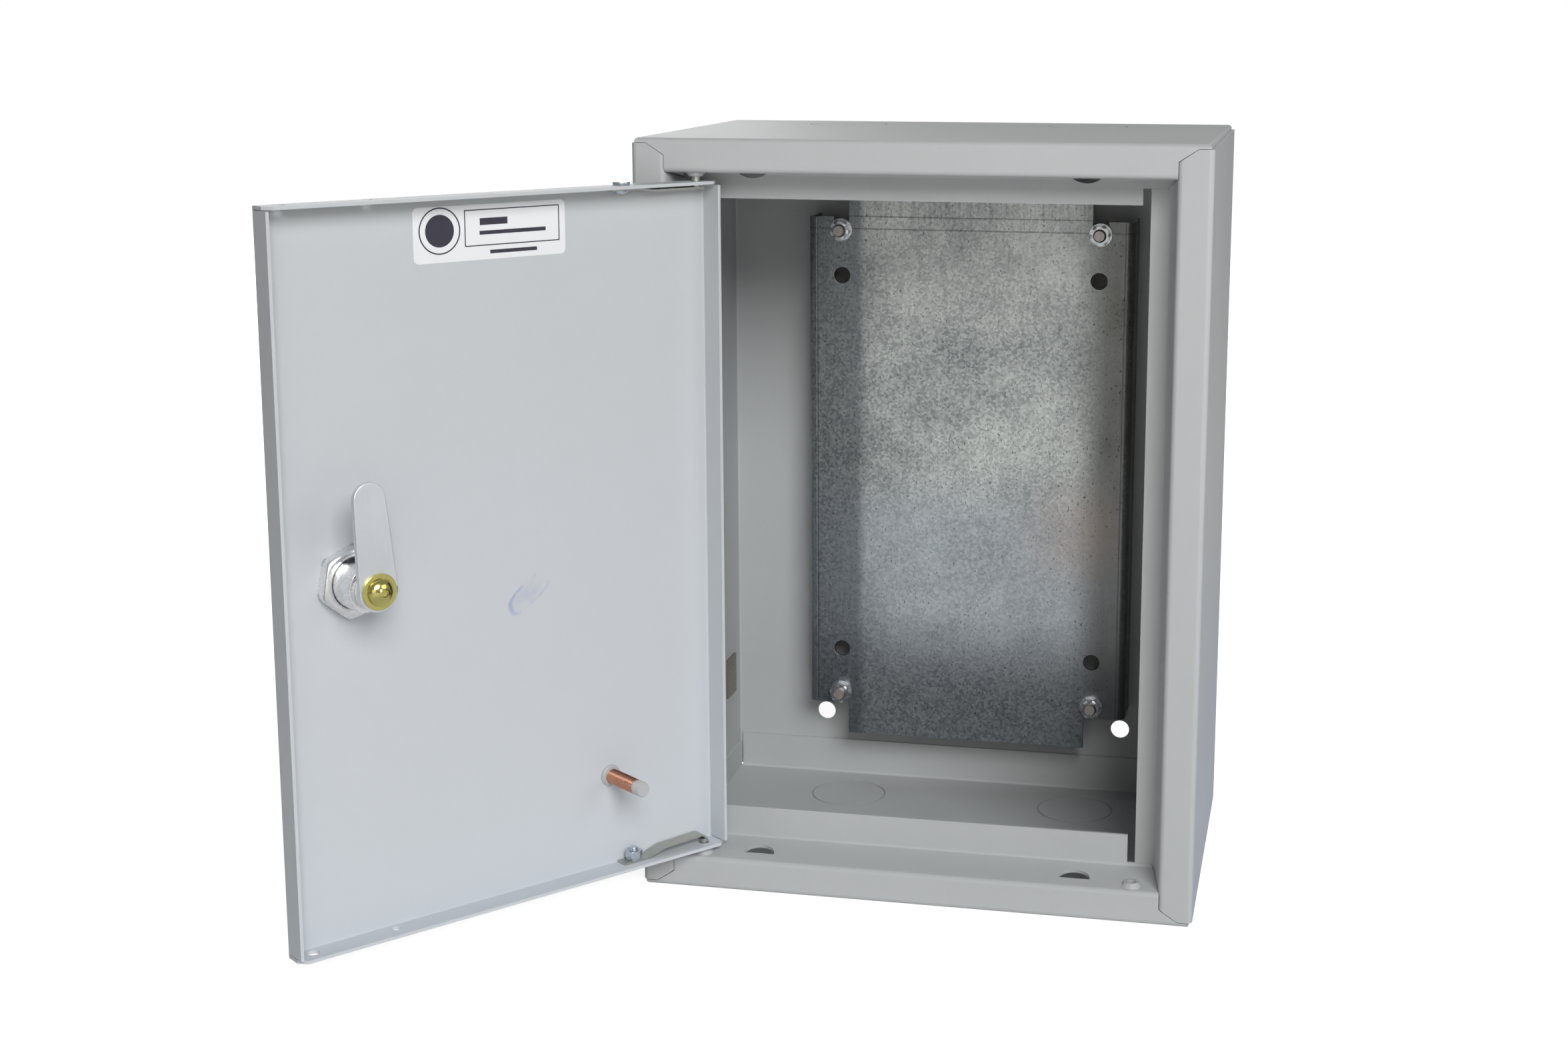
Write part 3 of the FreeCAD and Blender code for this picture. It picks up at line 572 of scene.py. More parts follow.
def platedMaterial(name, dark, light, rough, onDoor=False):
    made, tree, shader = newMaterial(name, Metallic=1.0)
    grain = placeGroup(tree, metalGrain, Vector=objectPlace(tree, onDoor), Grain_Size=plated["grainSize"],
                       Streak_Width=plated["streakWidth"], Pit_Size=plated["pitSize"],
                       Pit_Cover=plated["pitCover"])
    amount = scaled(tree, grain["Streak"], plated["streak"], grain["Cloud"])
    amount = minus(tree, amount, plated["shift"])
    rougher = scaled(tree, grain["Spangle"], rough * plated["roughSpread"], rough)
    feed(tree, shader, Base_Color=colourMix(tree, amount, dark, light), Roughness=rougher)
    bumped(tree, shader, grain["Streak"], plated["relief"], plated["reliefStrength"])
    return made


copper = {
    "dark": (0.36, 0.15, 0.10), "light": (0.80, 0.42, 0.29), "pit": (0.16, 0.07, 0.05),
    "grainSize": 0.6, "pitCover": 0.12, "paint": (0.50, 0.50, 0.51),
    "tipFrom": -0.1305, "tipFade": 0.3 * mm, "smear": 1.6 * mm,      # paint on the tip, with a ragged edge
    "collarTo": -0.1471, "collarFade": 0.2 * mm,
    "roughFrom": 0.28, "roughPaint": 0.2, "relief": 0.01 * mm, "reliefStrength": 0.5,
}


def studMaterial():
    # copper thread with the door's paint over its tip and its welded foot
    made, tree, shader = newMaterial("copperStud")
    place = objectPlace(tree, True)
    grain = placeGroup(tree, metalGrain, Vector=place, Grain_Size=copper["grainSize"],
                       Streak_Width=plated["streakWidth"], Pit_Size=plated["pitSize"],
                       Pit_Cover=copper["pitCover"])
    colour = colourMix(tree, grain["Cloud"], copper["dark"], copper["light"])
    colour = colourMix(tree, grain["Pits"], colour, copper["pit"])
    depth = addNode(tree, "ShaderNodeSeparateXYZ", {"Vector": place}).outputs[1]
    depth = plus(tree, depth, doorPlace["hinge"].y)
    centred = minus(tree, grain["Streak"], 0.5)
    ragged = scaled(tree, centred, copper["smear"] * 2, depth)
    tip = ramp(tree, ragged, copper["tipFrom"], copper["tipFrom"] + copper["tipFade"], smooth=False)
    foot = ramp(tree, depth, copper["collarTo"], copper["collarTo"] - copper["collarFade"], smooth=False)
    painted = maths(tree, "MAXIMUM", tip, foot)
    feed(tree, shader, Base_Color=colourMix(tree, painted, colour, copper["paint"]),
         Metallic=minus(tree, 1.0, painted),
         Roughness=scaled(tree, painted, copper["roughPaint"], copper["roughFrom"]))
    bumped(tree, shader, grain["Streak"], copper["relief"], copper["reliefStrength"])
    return made


labelCoat = {
    "peelSize": 0.5, "mottleSize": 9.0, "mottleDepth": 0.10, "shade": 0.82, "relief": 0.008 * mm,
    "reliefStrength": 0.4,
}


def labelMaterial(name, colour, rough):
    made, tree, shader = newMaterial(name, Specular_IOR_Level=0.45)
    grain = placeGroup(tree, coatGrain, Vector=objectPlace(tree, True), Peel_Size=labelCoat["peelSize"],
                       Mottle_Size=labelCoat["mottleSize"], Mottle_Depth=labelCoat["mottleDepth"])
    shade = tuple(c * labelCoat["shade"] for c in colour)
    blend = minus(tree, grain["Tone"], 0.3)
    feed(tree, shader, Base_Color=colourMix(tree, blend, shade, colour),
         Roughness=times(tree, grain["Tone"], rough))
    bumped(tree, shader, grain["Height"], labelCoat["relief"], labelCoat["reliefStrength"])
    return made


cabinetPaint = paintMaterial("cabinetPaint", False)
doorPaint = paintMaterial("doorPaint", True)
plateZinc = galvanisedMaterial()
brightZinc = platedMaterial("brightZinc", (0.45, 0.47, 0.50), (0.74, 0.76, 0.79), 0.22)
studEnds = platedMaterial("studEnds", (0.42, 0.38, 0.37), (0.62, 0.56, 0.54), 0.38)
blueZinc = platedMaterial("blueZinc", (0.42, 0.48, 0.56), (0.72, 0.78, 0.84), 0.2, onDoor=True)
stripSteel = platedMaterial("stripSteel", (0.40, 0.41, 0.37), (0.58, 0.59, 0.54), 0.36, onDoor=True)
camZinc = platedMaterial("camZinc", (0.66, 0.69, 0.72), (0.88, 0.90, 0.93), 0.34, onDoor=True)
lockChrome = platedMaterial("lockChrome", (0.80, 0.80, 0.81), (0.93, 0.93, 0.94), 0.22, onDoor=True)
lockCore = platedMaterial("lockCore", (0.70, 0.71, 0.74), (0.88, 0.89, 0.91), 0.30, onDoor=True)
yellowZinc = platedMaterial("yellowZinc", (0.42, 0.38, 0.09), (0.78, 0.70, 0.28), 0.15, onDoor=True)
copperThread = studMaterial()
rawSteel = platedMaterial("rawSteel", (0.20, 0.19, 0.15), (0.44, 0.42, 0.36), 0.42)
labelPaper = labelMaterial("labelPaper", (0.86, 0.86, 0.88), 0.38)
labelInk = labelMaterial("labelInk", (0.035, 0.032, 0.05), 0.45)
print("stage: materials ready")


# folded sheet pieces, each the CAD shape with its edges eased

sheetPieces = (
    # node, piece, body, slot, material, width of the eased edge
    ("cabinet_shell", "cabinetShell", "cabinet", "powder_coat", cabinetPaint, 0.32 * mm),
    ("bottom_cap", "bottomCap", "cabinet", "powder_coat", cabinetPaint, 0.18 * mm),
    ("top_cap", "topCap", "cabinet", "powder_coat", cabinetPaint, 0.18 * mm),
    ("mounting_plate", "mountingPlate", "cabinet", "galvanised", plateZinc, 0.2 * mm),
    ("side_earth_plate", "sideEarthPlate", "cabinet", "bare_steel", rawSteel, 0.15 * mm),
    ("door_pan", "doorPan", "door", "powder_coat", doorPaint, 0.32 * mm),
)
for row in sheetPieces:
    softened(*row)
print("stage: sheet pieces ready")


# threads, nuts and washers, placed by geometry nodes

threadShape = {"flatRoot": 1.2, "endSlope": 0.8, "rowsPerTurn": 8}


def threadedRodGroup():
    # a rod along +Z with a helical thread and a chamfered far end, rolled up from a flat grid whose
    # first and last rows close the two ends
    tree, given, result = newGroup("threadedRod", "GeometryNodeTree", {
        "Radius": ("Float", 2.5 * mm), "Pitch": ("Float", 0.8 * mm), "Depth": ("Float", 0.35 * mm),
        "Length": ("Float", 20 * mm), "Sides": ("Int", 32), "Rows": ("Int", 120),
    }, {"Geometry": "Geometry"})
    grid = addNode(tree, "GeometryNodeMeshGrid", {
        "Size X": 1.0, "Size Y": 1.0, "Vertices X": plus(tree, given["Sides"], 1.0),
        "Vertices Y": plus(tree, given["Rows"], 3.0)})
    spot = addNode(tree, "ShaderNodeSeparateXYZ", {0: addNode(tree, "GeometryNodeInputPosition").outputs[0]})
    around = plus(tree, spot.outputs[0], 0.5)
    lastRow = plus(tree, given["Rows"], 2.0)
    row = maths(tree, "ROUND", times(tree, plus(tree, spot.outputs[1], 0.5), lastRow))
    share = maths(tree, "DIVIDE", minus(tree, row, 1.0), given["Rows"])
    share = maths(tree, "MINIMUM", maths(tree, "MAXIMUM", share, 0.0), 1.0)
    height = times(tree, share, given["Length"])
    turns = minus(tree, maths(tree, "DIVIDE", height, given["Pitch"]), around)
    wave = maths(tree, "ABSOLUTE", scaled(tree, maths(tree, "FRACT", turns), 2.0, -1.0))
    wave = maths(tree, "MINIMUM", times(tree, wave, threadShape["flatRoot"]), 1.0)
    radius = minus(tree, given["Radius"], times(tree, wave, given["Depth"]))
    rest = minus(tree, given["Length"], height)
    endRadius = minus(tree, given["Radius"], given["Depth"])
    chamfer = scaled(tree, rest, threadShape["endSlope"], endRadius)
    radius = maths(tree, "MINIMUM", radius, chamfer)
    inside = times(tree, maths(tree, "GREATER_THAN", row, 0.5),
                   maths(tree, "LESS_THAN", row, minus(tree, lastRow, 0.5)))
    radius = times(tree, radius, inside)
    angle = times(tree, around, 2 * math.pi)
    place = addNode(tree, "ShaderNodeCombineXYZ", {
        0: times(tree, radius, maths(tree, "COSINE", angle)),
        1: times(tree, radius, maths(tree, "SINE", angle)), 2: height})
    moved = addNode(tree, "GeometryNodeSetPosition", {
        "Geometry": grid.outputs["Mesh"], "Position": place.outputs[0]})
    merged = addNode(tree, "GeometryNodeMergeByDistance", {
        "Geometry": moved.outputs[0], "Distance": 0.002 * mm})
    tree.links.new(merged.outputs[0], result["Geometry"])
    return tree


def threadRows(length, pitch):
    return threadShape["rowsPerTurn"] * round(length / pitch)


threadedRod = threadedRodGroup()


def setModifierInputs(modifier, values):
    sockets = {s.name: s.identifier for s in modifier.node_group.interface.items_tree
               if s.item_type == "SOCKET" and s.in_out == "INPUT"}
    for label, value in values.items():
        modifier[sockets[label]] = value


def grownMesh(name, base, tree, values):
    # runs a tree on a carrier object and keeps only the plain mesh
    carrier = linked(name, base)
    modifier = carrier.modifiers.new("grow", "NODES")
    modifier.node_group = tree
    setModifierInputs(modifier, values)
    mesh = applied(carrier)
    mesh.name = name
    bpy.data.objects.remove(carrier)
    return mesh


def placesMesh(places):
    # loose points, each with the turn of what stands on it
    mesh = bpy.data.meshes.new("places")
    mesh.from_pydata([p for p, _ in places], [], [])
    turns = mesh.attributes.new("turn", "FLOAT_VECTOR", "POINT")
    for k, (_, turn) in enumerate(places):
        turns.data[k].vector = turn
    return mesh


def fixingsTree(name):
    # a threaded stud, a washer and a nut on every point, each pair spun a little differently
    inputs = {
        "Points": ("Geometry", None), "Nut": ("Object", None), "Washer": ("Object", None),
        "Radius": ("Float", 2.5 * mm), "Pitch": ("Float", 0.8 * mm), "Length": ("Float", 20 * mm),
        "Depth": ("Float", 0.35 * mm), "Rows": ("Int", 160), "Nut Height": ("Float", 0.0),
        "Washer Height": ("Float", 0.0), "Spin Seed": ("Int", 4), "Spin": ("Float", 6.0),
        "Stud Material": ("Material", None), "Nut Material": ("Material", None),
    }
    tree, given, result = newGroup(name, "GeometryNodeTree", inputs, {"Geometry": "Geometry"})
    points = addNode(tree, "GeometryNodeMeshToPoints", {"Mesh": given["Points"]})
    turn = addNode(tree, "GeometryNodeInputNamedAttribute", {"Name": "turn"}, data_type="FLOAT_VECTOR")
    rod = tree.nodes.new("GeometryNodeGroup")
    rod.node_tree = threadedRod
    for label in ("Radius", "Pitch", "Length", "Depth", "Rows"):
        tree.links.new(given[label], rod.inputs[label])
    studs = addNode(tree, "GeometryNodeInstanceOnPoints", {
        "Points": points.outputs[0], "Instance": rod.outputs[0], "Rotation": turn.outputs[0]})
    studsReal = addNode(tree, "GeometryNodeRealizeInstances", {"Geometry": studs.outputs[0]})
    studsDone = addNode(tree, "GeometryNodeSetMaterial", {
        "Geometry": studsReal.outputs[0], "Material": given["Stud Material"]})
    join = tree.nodes.new("GeometryNodeJoinGeometry")
    spin = addNode(tree, "FunctionNodeRandomValue", {"Seed": given["Spin Seed"]}, data_type="FLOAT")
    spin.inputs["Min"].default_value = 0.0
    for label, height in (("Washer", "Washer Height"), ("Nut", "Nut Height")):
        source = addNode(tree, "GeometryNodeObjectInfo", {"Object": given[label]})
        lift = addNode(tree, "ShaderNodeCombineXYZ", {2: given[height]})
        raised = addNode(tree, "GeometryNodeTransform", {
            "Geometry": source.outputs["Geometry"], "Translation": lift.outputs[0]})
        placed = addNode(tree, "GeometryNodeInstanceOnPoints", {
            "Points": points.outputs[0], "Instance": raised.outputs[0], "Rotation": turn.outputs[0]})
        spun = addNode(tree, "GeometryNodeRotateInstances", {
            "Instances": placed.outputs[0],
            "Rotation": addNode(tree, "ShaderNodeCombineXYZ", {
                2: times(tree, spin.outputs[1], given["Spin"])}).outputs[0]})
        tree.links.new(spun.outputs[0], join.inputs[0])
    real = addNode(tree, "GeometryNodeRealizeInstances", {"Geometry": join.outputs[0]})
    nutsDone = addNode(tree, "GeometryNodeSetMaterial", {
        "Geometry": real.outputs[0], "Material": given["Nut Material"]})
    both = tree.nodes.new("GeometryNodeJoinGeometry")
    tree.links.new(studsDone.outputs[0], both.inputs[0])
    tree.links.new(nutsDone.outputs[0], both.inputs[0])
    tree.links.new(both.outputs[0], result["Geometry"])
    return tree


fixings = fixingsTree("fixings")


plateFixing = {
    "nutFlats": 8.0 * mm, "nutHeight": 4.0 * mm, "washerRadius": 5.0 * mm, "washerHeight": 1.0 * mm,
    "pitch": 0.8 * mm, "threadDepth": 0.32 * mm, "spinSeed": 7,
    "nutChamfer": 0.55 * mm, "washerGap": 0.1 * mm, "washerEase": 0.12 * mm,
}


def plateFixings():
    corners = [f"{v}_{s}" for v in ("lower", "upper") for s in ("left", "right")]
    places = []
    for corner in corners:
        low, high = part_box("plate_stud_" + corner)
        middle = (low + high) / 2
        places.append((Vector((middle.x, high.y, middle.z)), (math.radians(90), 0, 0)))
    radius = (high.x - low.x) / 2
    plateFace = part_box("mounting_plate")[0].y
    stand = high.y - plateFace
    nut = linked("nutShape", hexNut(
        plateFixing["nutFlats"], plateFixing["nutHeight"], radius, plateFixing["nutChamfer"]))
    washer = linked("washerShape", roundRing(
        plateFixing["washerRadius"], radius + plateFixing["washerGap"], plateFixing["washerHeight"],
        plateFixing["washerEase"]))
    length = high.y - low.y
    mesh = grownMesh("plateFixings", placesMesh(places), fixings, {
        "Nut": nut, "Washer": washer, "Radius": radius, "Pitch": plateFixing["pitch"], "Length": length,
        "Depth": plateFixing["threadDepth"], "Rows": threadRows(length, plateFixing["pitch"]),
        "Nut Height": stand + plateFixing["washerHeight"], "Washer Height": stand,
        "Spin Seed": plateFixing["spinSeed"], "Stud Material": studEnds, "Nut Material": brightZinc})
    for helper in (nut, washer):
        bpy.data.objects.remove(helper)
    nodes = [f"plate_{kind}_{corner}" for corner in corners for kind in ("stud", "washer", "nut")]
    finishMesh("plateFixings", mesh, "cabinet", replaces=nodes)


plateFixings()
print("stage: plate fixings ready")


# hinge, earth stud, label and lock, all on the door

alongY = Matrix.Rotation(math.radians(-90), 4, "X")      # carries +Z to +Y


def joinedMesh(*meshes):
    shape = bmesh.new()
    for mesh in meshes:
        shape.from_mesh(mesh)
    return meshFrom(shape, "joined")


for end in ("lower", "upper"):
    softened("hinge_strip_" + end, "hingeStrip" + end.title(), "door", "spring_steel", stripSteel, 0.18 * mm)
softened("hinge_rivet_upper", "hingeRivetUpper", "door", "zinc_plated", blueZinc, 0.15 * mm)

hingeFixing = {
    "radius": 1.75 * mm, "nutFlats": 6.0 * mm, "nutChamfer": 0.4 * mm, "nutTurn": math.radians(8),
    "pitch": 0.6 * mm, "threadDepth": 0.26 * mm, "ringGap": 0.05 * mm, "ringEase": 0.15 * mm,
}


dome = {"rim": 0.125 * mm, "steps": 9, "lip": 0.15 * mm, "hollowEdge": 0.7 * mm, "hollowDepth": 0.85 * mm}


def domedHead(radius, height, hollow=0.0):
    # outline of a round head from its seat up to the crown, with a hollow of the given radius if any
    rim, steps = dome["rim"], dome["steps"]
    outline = [(0, 0), (radius - rim, 0), (radius, rim)]
    for k in range(1, steps + 1):
        angle = math.radians(90) * k / steps
        outline.append((radius * math.cos(angle), rim + (height - rim) * math.sin(angle)))
    if hollow:
        outline = outline[:-2]
        outline += [(hollow, outline[-1][1] + dome["lip"]), (hollow * 0.85, height - dome["hollowEdge"]),
                    (0, height - dome["hollowDepth"])]
    return outline


def hingeFixings():
    low, high, middle = shutBox("hinge_screw_lower")
    nutLow, nutHigh, _ = shutBox("hinge_nut_lower")
    ringLow, ringHigh, _ = shutBox("hinge_spring_washer_lower")
    doorBottom = shutBox("door_pan")[0].z
    radius = hingeFixing["radius"]
    headHeight = doorBottom - low.z
    head = revolve([(r, headHeight - h) for r, h in domedHead((high.x - low.x) / 2, headHeight)], 48)
    ring = roundRing((ringHigh.x - ringLow.x) / 2, radius + hingeFixing["ringGap"],
                     ringHigh.z - ringLow.z, hingeFixing["ringEase"])
    ring.transform(Matrix.Translation((0, 0, ringLow.z - low.z)))
    nut = linked("nutShape", hexNut(
        hingeFixing["nutFlats"], nutHigh.z - nutLow.z, radius, hingeFixing["nutChamfer"],
        hingeFixing["nutTurn"]))
    under = linked("headShape", joinedMesh(head, ring))
    length = high.z - low.z - headHeight * 0.5
    places = placesMesh([((middle.x, middle.y, low.z), (0, 0, 0))])
    mesh = grownMesh("hingeFixing", places, fixings, {
        "Nut": nut, "Washer": under, "Radius": radius, "Pitch": hingeFixing["pitch"],
        "Length": high.z - low.z, "Depth": hingeFixing["threadDepth"],
        "Rows": threadRows(length, hingeFixing["pitch"]), "Nut Height": nutLow.z - low.z,
        "Washer Height": 0.0, "Spin": 0.0, "Stud Material": blueZinc, "Nut Material": blueZinc})
    for helper in (nut, under):
        bpy.data.objects.remove(helper)
    finishMesh("hingeFixing", mesh, "door", place=openDoor,
               replaces=("hinge_screw_lower", "hinge_spring_washer_lower", "hinge_nut_lower"))


hingeFixings()

earthStud = {
    "radius": 3.0 * mm, "pitch": 1.0 * mm, "threadDepth": 0.4 * mm, "collarRadius": 4.2 * mm,
    "collarHeight": 1.4 * mm, "collarEdge": 0.8 * mm, "collarTaper": 0.6 * mm,
}


def doorEarthStud():
    low, high, middle = shutBox("door_earth_stud")
    rim, top = earthStud["collarRadius"], earthStud["collarHeight"]
    edge, taper = earthStud["collarEdge"], earthStud["collarTaper"]
    outline = [(0, 0), (rim, 0), (rim, edge), (rim - taper, top), (0, top)]
    collar = linked("collarShape", revolve(outline, 60))
    base = Vector((middle.x, low.y, middle.z))
    places = placesMesh([(base, (math.radians(-90), 0, 0))])
    mesh = grownMesh("doorEarthStud", places, fixings, {
        "Washer": collar, "Radius": earthStud["radius"], "Pitch": earthStud["pitch"],
        "Length": high.y - low.y, "Depth": earthStud["threadDepth"],
        "Rows": threadRows(high.y - low.y, earthStud["pitch"]),
        "Spin": 0.0, "Stud Material": copperThread, "Nut Material": copperThread})
    bpy.data.objects.remove(collar)
    finishMesh("doorEarthStud", mesh, "door", place=openDoor, replaces=("door_earth_stud",))


doorEarthStud()

label = {
    "thickness": 0.13 * mm, "proud": 0.02 * mm, "corner": 2.0 * mm,
    # all measured from the label's right end, seen with the door shut, and from its foot
    "emblem": (10.6 * mm, 11.3 * mm),
    "emblemRings": ((7.9 * mm, 8.4 * mm), (0.0, 5.8 * mm)),      # inner and outer radius
    "frame": (20.7 * mm, 60.5 * mm, 5.0 * mm, 18.2 * mm, 0.4 * mm),      # ends, foot, head, line
    "bars": (
        # near end, far end, middle height, height
        (27.0 * mm, 38.5 * mm, 13.7 * mm, 2.5 * mm),
        (26.8 * mm, 54.6 * mm, 9.7 * mm, 1.4 * mm),
        (31.0 * mm, 50.7 * mm, 2.7 * mm, 1.3 * mm),
    ),
}


def flatPrism(shape, outlineOuter, outlineInner, near, far, index):
    # a flat shape from y near to y far: outlines are lists of (x, z), and the inner one cuts a hole
    def ringOf(outline, y):
        return [shape.verts.new((x, y, z)) for x, z in outline]
    count = len(outlineOuter)
    outerNear, outerFar = ringOf(outlineOuter, near), ringOf(outlineOuter, far)
    faces = []
    for k in range(count):
        n = (k + 1) % count
        faces.append((outerNear[k], outerNear[n], outerFar[n], outerFar[k]))
    if outlineInner:
        innerNear, innerFar = ringOf(outlineInner, near), ringOf(outlineInner, far)
        for k in range(count):
            n = (k + 1) % count
            faces.append((innerNear[n], innerNear[k], innerFar[k], innerFar[n]))
            faces.append((outerFar[k], outerFar[n], innerFar[n], innerFar[k]))
            faces.append((outerNear[n], outerNear[k], innerNear[k], innerNear[n]))
    else:
        faces.append(tuple(outerFar))
        faces.append(tuple(reversed(outerNear)))
    for corners in faces:
        shape.faces.new(corners).material_index = index


def circleOutline(x, z, radius, count=64):
    return [(x + radius * math.cos(2 * math.pi * k / count), z + radius * math.sin(2 * math.pi * k / count))
            for k in range(count)]


def boxOutline(x0, x1, z0, z1):
    return [(x0, z0), (x1, z0), (x1, z1), (x0, z1)]


def roundedOutline(x0, x1, z0, z1, radius, steps=6):
    points = []
    for cx, cz, start in ((x1 - radius, z1 - radius, 0), (x0 + radius, z1 - radius, 90),
                          (x0 + radius, z0 + radius, 180), (x1 - radius, z0 + radius, 270)):
        for k in range(steps + 1):
            angle = math.radians(start + 90 * k / steps)
            points.append((cx + radius * math.cos(angle), cz + radius * math.sin(angle)))
    return points


def inspectionLabel():
    low, high, _ = shutBox("inspection_label")
    shape = bmesh.new()
    top = low.y + label["thickness"]
    proud = top + label["proud"]
    flatPrism(shape, roundedOutline(low.x, high.x, low.z, high.z, label["corner"]), None, low.y, top, 0)
    right, foot = high.x, low.z
    x, z = right - label["emblem"][0], foot + label["emblem"][1]
    for inner, outer in label["emblemRings"]:
        hole = circleOutline(x, z, inner) if inner else None
        flatPrism(shape, circleOutline(x, z, outer), hole, top, proud, 1)
    near, far, bottom, head, line = label["frame"]
    flatPrism(shape, boxOutline(right - far, right - near, foot + bottom, foot + head),
              boxOutline(right - far + line, right - near - line, foot + bottom + line, foot + head - line),
              top, proud, 1)
    for near, far, middle, height in label["bars"]:
        flatPrism(shape, boxOutline(right - far, right - near, foot + middle - height / 2,
                                    foot + middle + height / 2), None, top, proud, 1)
    bmesh.ops.recalc_face_normals(shape, faces=shape.faces)
    mesh = meshFrom(shape, "inspectionLabel")
    mesh.materials.append(labelPaper)
    mesh.materials.append(labelInk)
    finishMesh("inspectionLabel", mesh, "door", place=openDoor, replaces=("inspection_label",))


inspectionLabel()
print("stage: hinge, stud and label ready")

softened("lock_housing", "lockHousing", "door", "chrome", lockChrome, 0.3 * mm)
softened("lock_core", "lockCore", "cam", "chrome", lockCore, 0.25 * mm)
softened("lock_cam", "lockCam", "cam", "cam_zinc", camZinc, 0.3 * mm, 3)
softened("cam_washer", "camWasher", "cam", "yellow_zinc", yellowZinc, 0.2 * mm)

lockNut = {
    "flats": 24.0 * mm, "turn": math.radians(50), "bore": 9.35 * mm, "shoulder": 2.0 * mm,
    "cornerCut": 0.4 * mm, "footEase": (0.6 * mm, 0.5 * mm), "boreEase": (0.3 * mm, 0.4 * mm),
    "shoulderReach": 1.5, "softness": 34, "steps": 8,
}


def lockPlace(low, middle):
    # stands a piece turned about +Z on the lock's axis, and opens the door with it
    return openDoor @ Matrix.Translation((middle.x, low.y, middle.z)) @ alongY


def lockNutPiece():
    low, high, middle = shutBox("lock_nut")
    height = high.y - low.y
    bore, shoulder, steps = lockNut["bore"], lockNut["shoulder"], lockNut["steps"]
    corner = lockNut["flats"] / math.sqrt(3) - lockNut["cornerCut"]
    footIn, footUp = lockNut["footEase"]
    lowEase, highEase = lockNut["boreEase"]
    profile = [(bore, lowEase), (bore + lowEase, 0), (corner - footIn, 0), (corner, footUp)]
    for k in range(steps + 1):
        angle = math.radians(90) * k / steps
        profile.append((corner - shoulder * (1 - math.cos(angle)) * lockNut["shoulderReach"],
                        height - shoulder * (1 - math.sin(angle))))
    profile += [(bore + highEase, height), (bore, height - highEase)]
    mesh = revolve(profile, 144, lockNut["flats"], lockNut["turn"], lockNut["softness"])
    finishMesh("lockNut", mesh, "door", lockChrome, ("lock_nut",),
               lockPlace(low, middle), sharp=50)


lockNutPiece()


camScrew = {"shank": 2.5 * mm, "shankEase": 0.3 * mm, "hollow": 1.5 * mm}


def camScrewPiece():
    low, high, middle = shutBox("cam_screw")
    seat = shutBox("cam_washer")[1].y - low.y
    head = domedHead((high.x - low.x) / 2, high.y - low.y - seat, camScrew["hollow"])
    shank, ease = camScrew["shank"], camScrew["shankEase"]
    outline = [(0, 0), (shank - ease, 0), (shank, ease), (shank, seat)]
    outline += [(r, h + seat) for r, h in head[1:]]
    finishMesh("camScrew", revolve(outline, 72), "cam", yellowZinc, ("cam_screw",),
               lockPlace(low, middle), sharp=42)


camScrewPiece()
print("stage: lock ready")


# camera, floor and light

view = {
    "place": (0.1538, -0.97935, 0.19671),
    "pitch": -10.809, "yaw": 12.225,
    "lens": 51.908, "shiftX": -0.03997, "shiftY": -0.05017,
}


def makeCamera():
    data = bpy.data.cameras.new("viewer")
    data.sensor_width = 36.0
    data.lens = view["lens"]
    data.shift_x = view["shiftX"]
    data.shift_y = view["shiftY"]
    data.clip_start = 0.01
    camera = linked("viewer", data)
    camera.location = view["place"]
    camera.rotation_euler = (math.radians(90 + view["pitch"]), 0, math.radians(view["yaw"]))
    bpy.context.scene.camera = camera


studio = {
    "floorColour": (0.90, 0.90, 0.90), "floorShade": 0.97, "floorSide": 40.0,
    "floorGlow": 0.72, "glowFrom": 0.35, "glowTo": 0.75,      # glow near the object, then full beyond
    "airGlow": 1.0, "reflected": 0.30,                        # what the camera and what metal sees
    "lights": [
        # name, place, aim, width, height, power, colour
        ("frontKey", (0.9, -1.9, 1.2), (0, -0.15, 0), 1.2, 1.0, 40.5, (0.965, 0.98, 0.975)),
        ("rightSide", (2.2, -0.6, 0.8), (0, -0.1, 0), 1.2, 1.2, 8.5, (0.96, 0.95, 0.98)),
        ("backTop", (0, 1.4, 1.7), (0, -0.1, 0.1), 1.6, 1.0, 7.0, (0.98, 1.0, 0.95)),
        ("frontLow", (0.2, -2.4, 0.35), (0, -0.15, 0), 1.2, 0.8, 3.0, (1.0, 0.95, 0.88)),
        ("leftSide", (-2.2, -0.6, 0.8), (0, -0.1, 0), 1.2, 1.2, 0.6, (1.0, 0.96, 0.9)),
        ("backFill", (-1.3, 2.2, 0.8), (-0.05, -0.1, 0), 1.4, 1.2, 17.0, (1.0, 1.0, 1.0)),
    ],
}


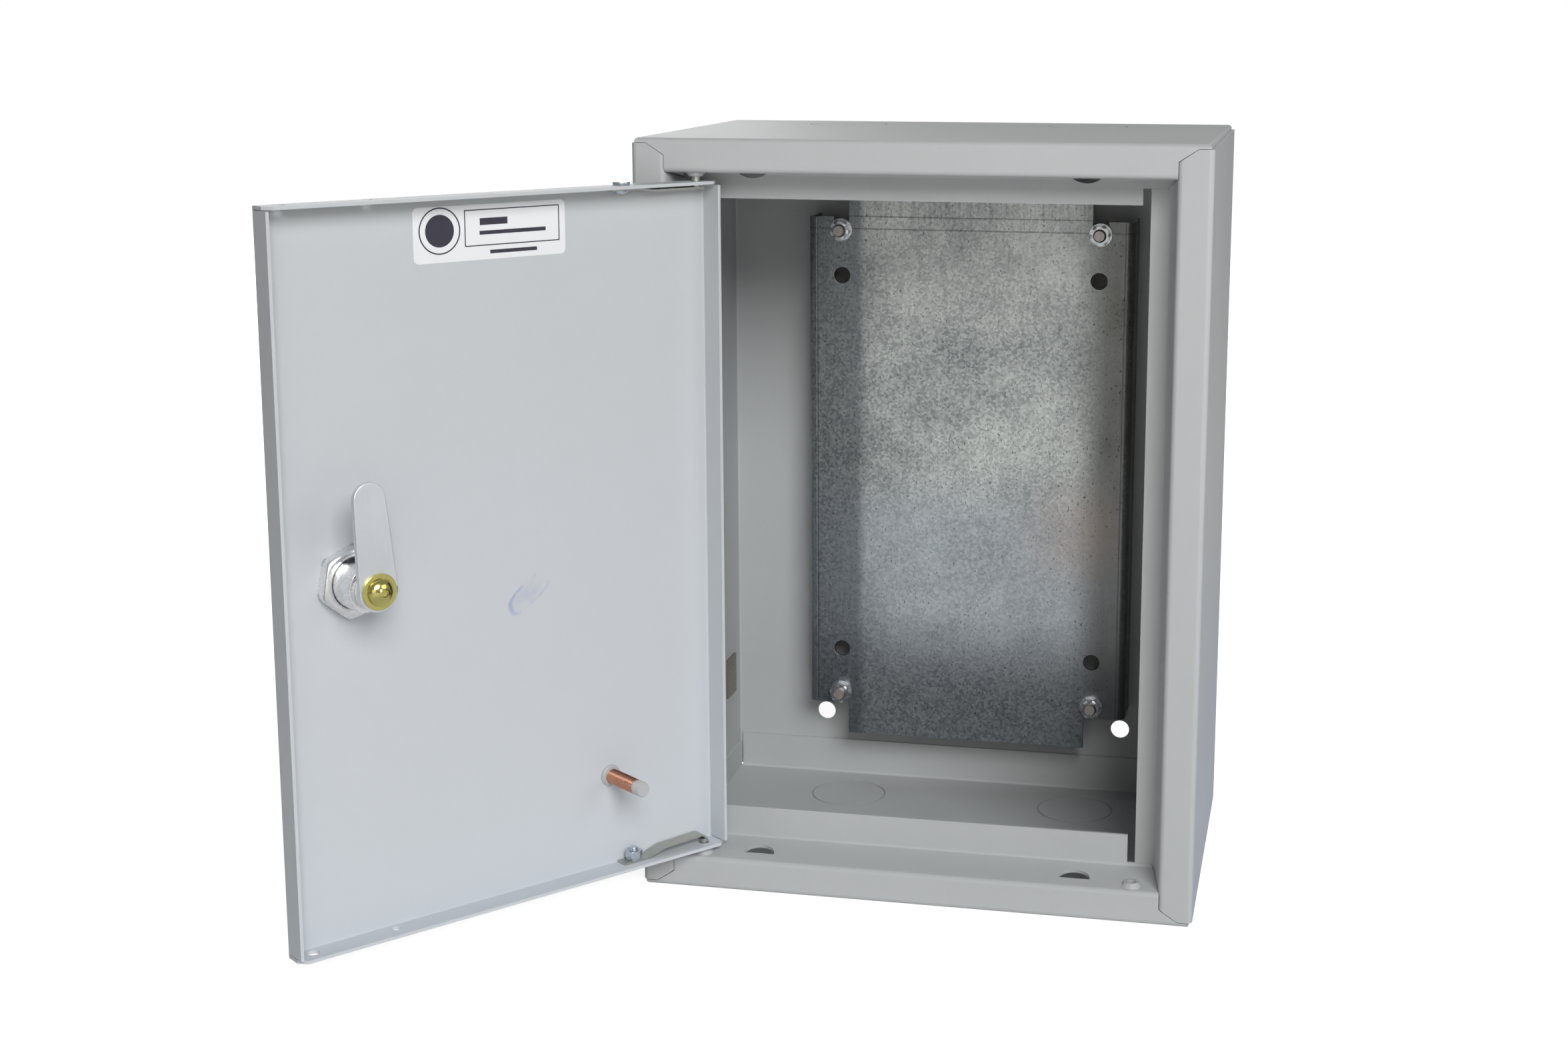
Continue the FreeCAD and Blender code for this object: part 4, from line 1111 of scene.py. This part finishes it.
def makeFloor():
    shape = bmesh.new()
    bmesh.ops.create_grid(shape, x_segments=2, y_segments=2, size=studio["floorSide"] / 2)
    mesh = meshFrom(shape, "studioFloor")
    mesh.transform(Matrix.Translation((0, 0, cadBox[0].z)))
    made, tree, shader = newMaterial("floorPaper", Roughness=0.9, Specular_IOR_Level=0.1)
    # paper glows for the camera only, so that it stays white round the object and lights nothing
    path = addNode(tree, "ShaderNodeLightPath")
    clouds = addNode(tree, "ShaderNodeTexNoise", {
        "Vector": objectPlace(tree), "Scale": 3.0, "Detail": 2.0})
    away = addNode(tree, "ShaderNodeVectorMath", {0: objectPlace(tree)}, operation="LENGTH").outputs["Value"]
    glow = ramp(tree, away, studio["glowFrom"], studio["glowTo"], studio["floorGlow"], smooth=False)
    darker = tuple(c * studio["floorShade"] for c in studio["floorColour"])
    feed(tree, shader, Base_Color=colourMix(tree, clouds.outputs[0], darker, studio["floorColour"]),
         Emission_Color=times(tree, path.outputs["Is Camera Ray"], glow))
    shader.inputs["Emission Strength"].default_value = 1.0
    mesh.materials.append(made)
    linked("studioFloor", mesh)


def makeLights():
    for name, place, aim, width, height, power, colour in studio["lights"]:
        data = bpy.data.lights.new(name, "AREA")
        data.shape = "RECTANGLE"
        data.size, data.size_y = width, height
        data.energy = power
        data.color = colour
        lamp = linked(name, data)
        lamp.location = place
        lamp.rotation_euler = (Vector(aim) - Vector(place)).to_track_quat("-Z", "Y").to_euler()


def makeAir():
    world = bpy.data.worlds.new("studioAir")
    world.use_nodes = True
    tree = world.node_tree
    sky = tree.nodes["Background"]
    path = addNode(tree, "ShaderNodeLightPath")
    seen = times(tree, path.outputs["Is Camera Ray"], studio["airGlow"])
    mirrored = times(tree, path.outputs["Is Glossy Ray"], studio["reflected"])
    tree.links.new(plus(tree, seen, mirrored), sky.inputs["Strength"])
    sky.inputs["Color"].default_value = (1.0, 1.0, 1.0, 1)
    bpy.context.scene.world = world
    bpy.context.scene.view_settings.view_transform = "Standard"


makeCamera()
makeFloor()
makeLights()
makeAir()
print("stage: studio ready")
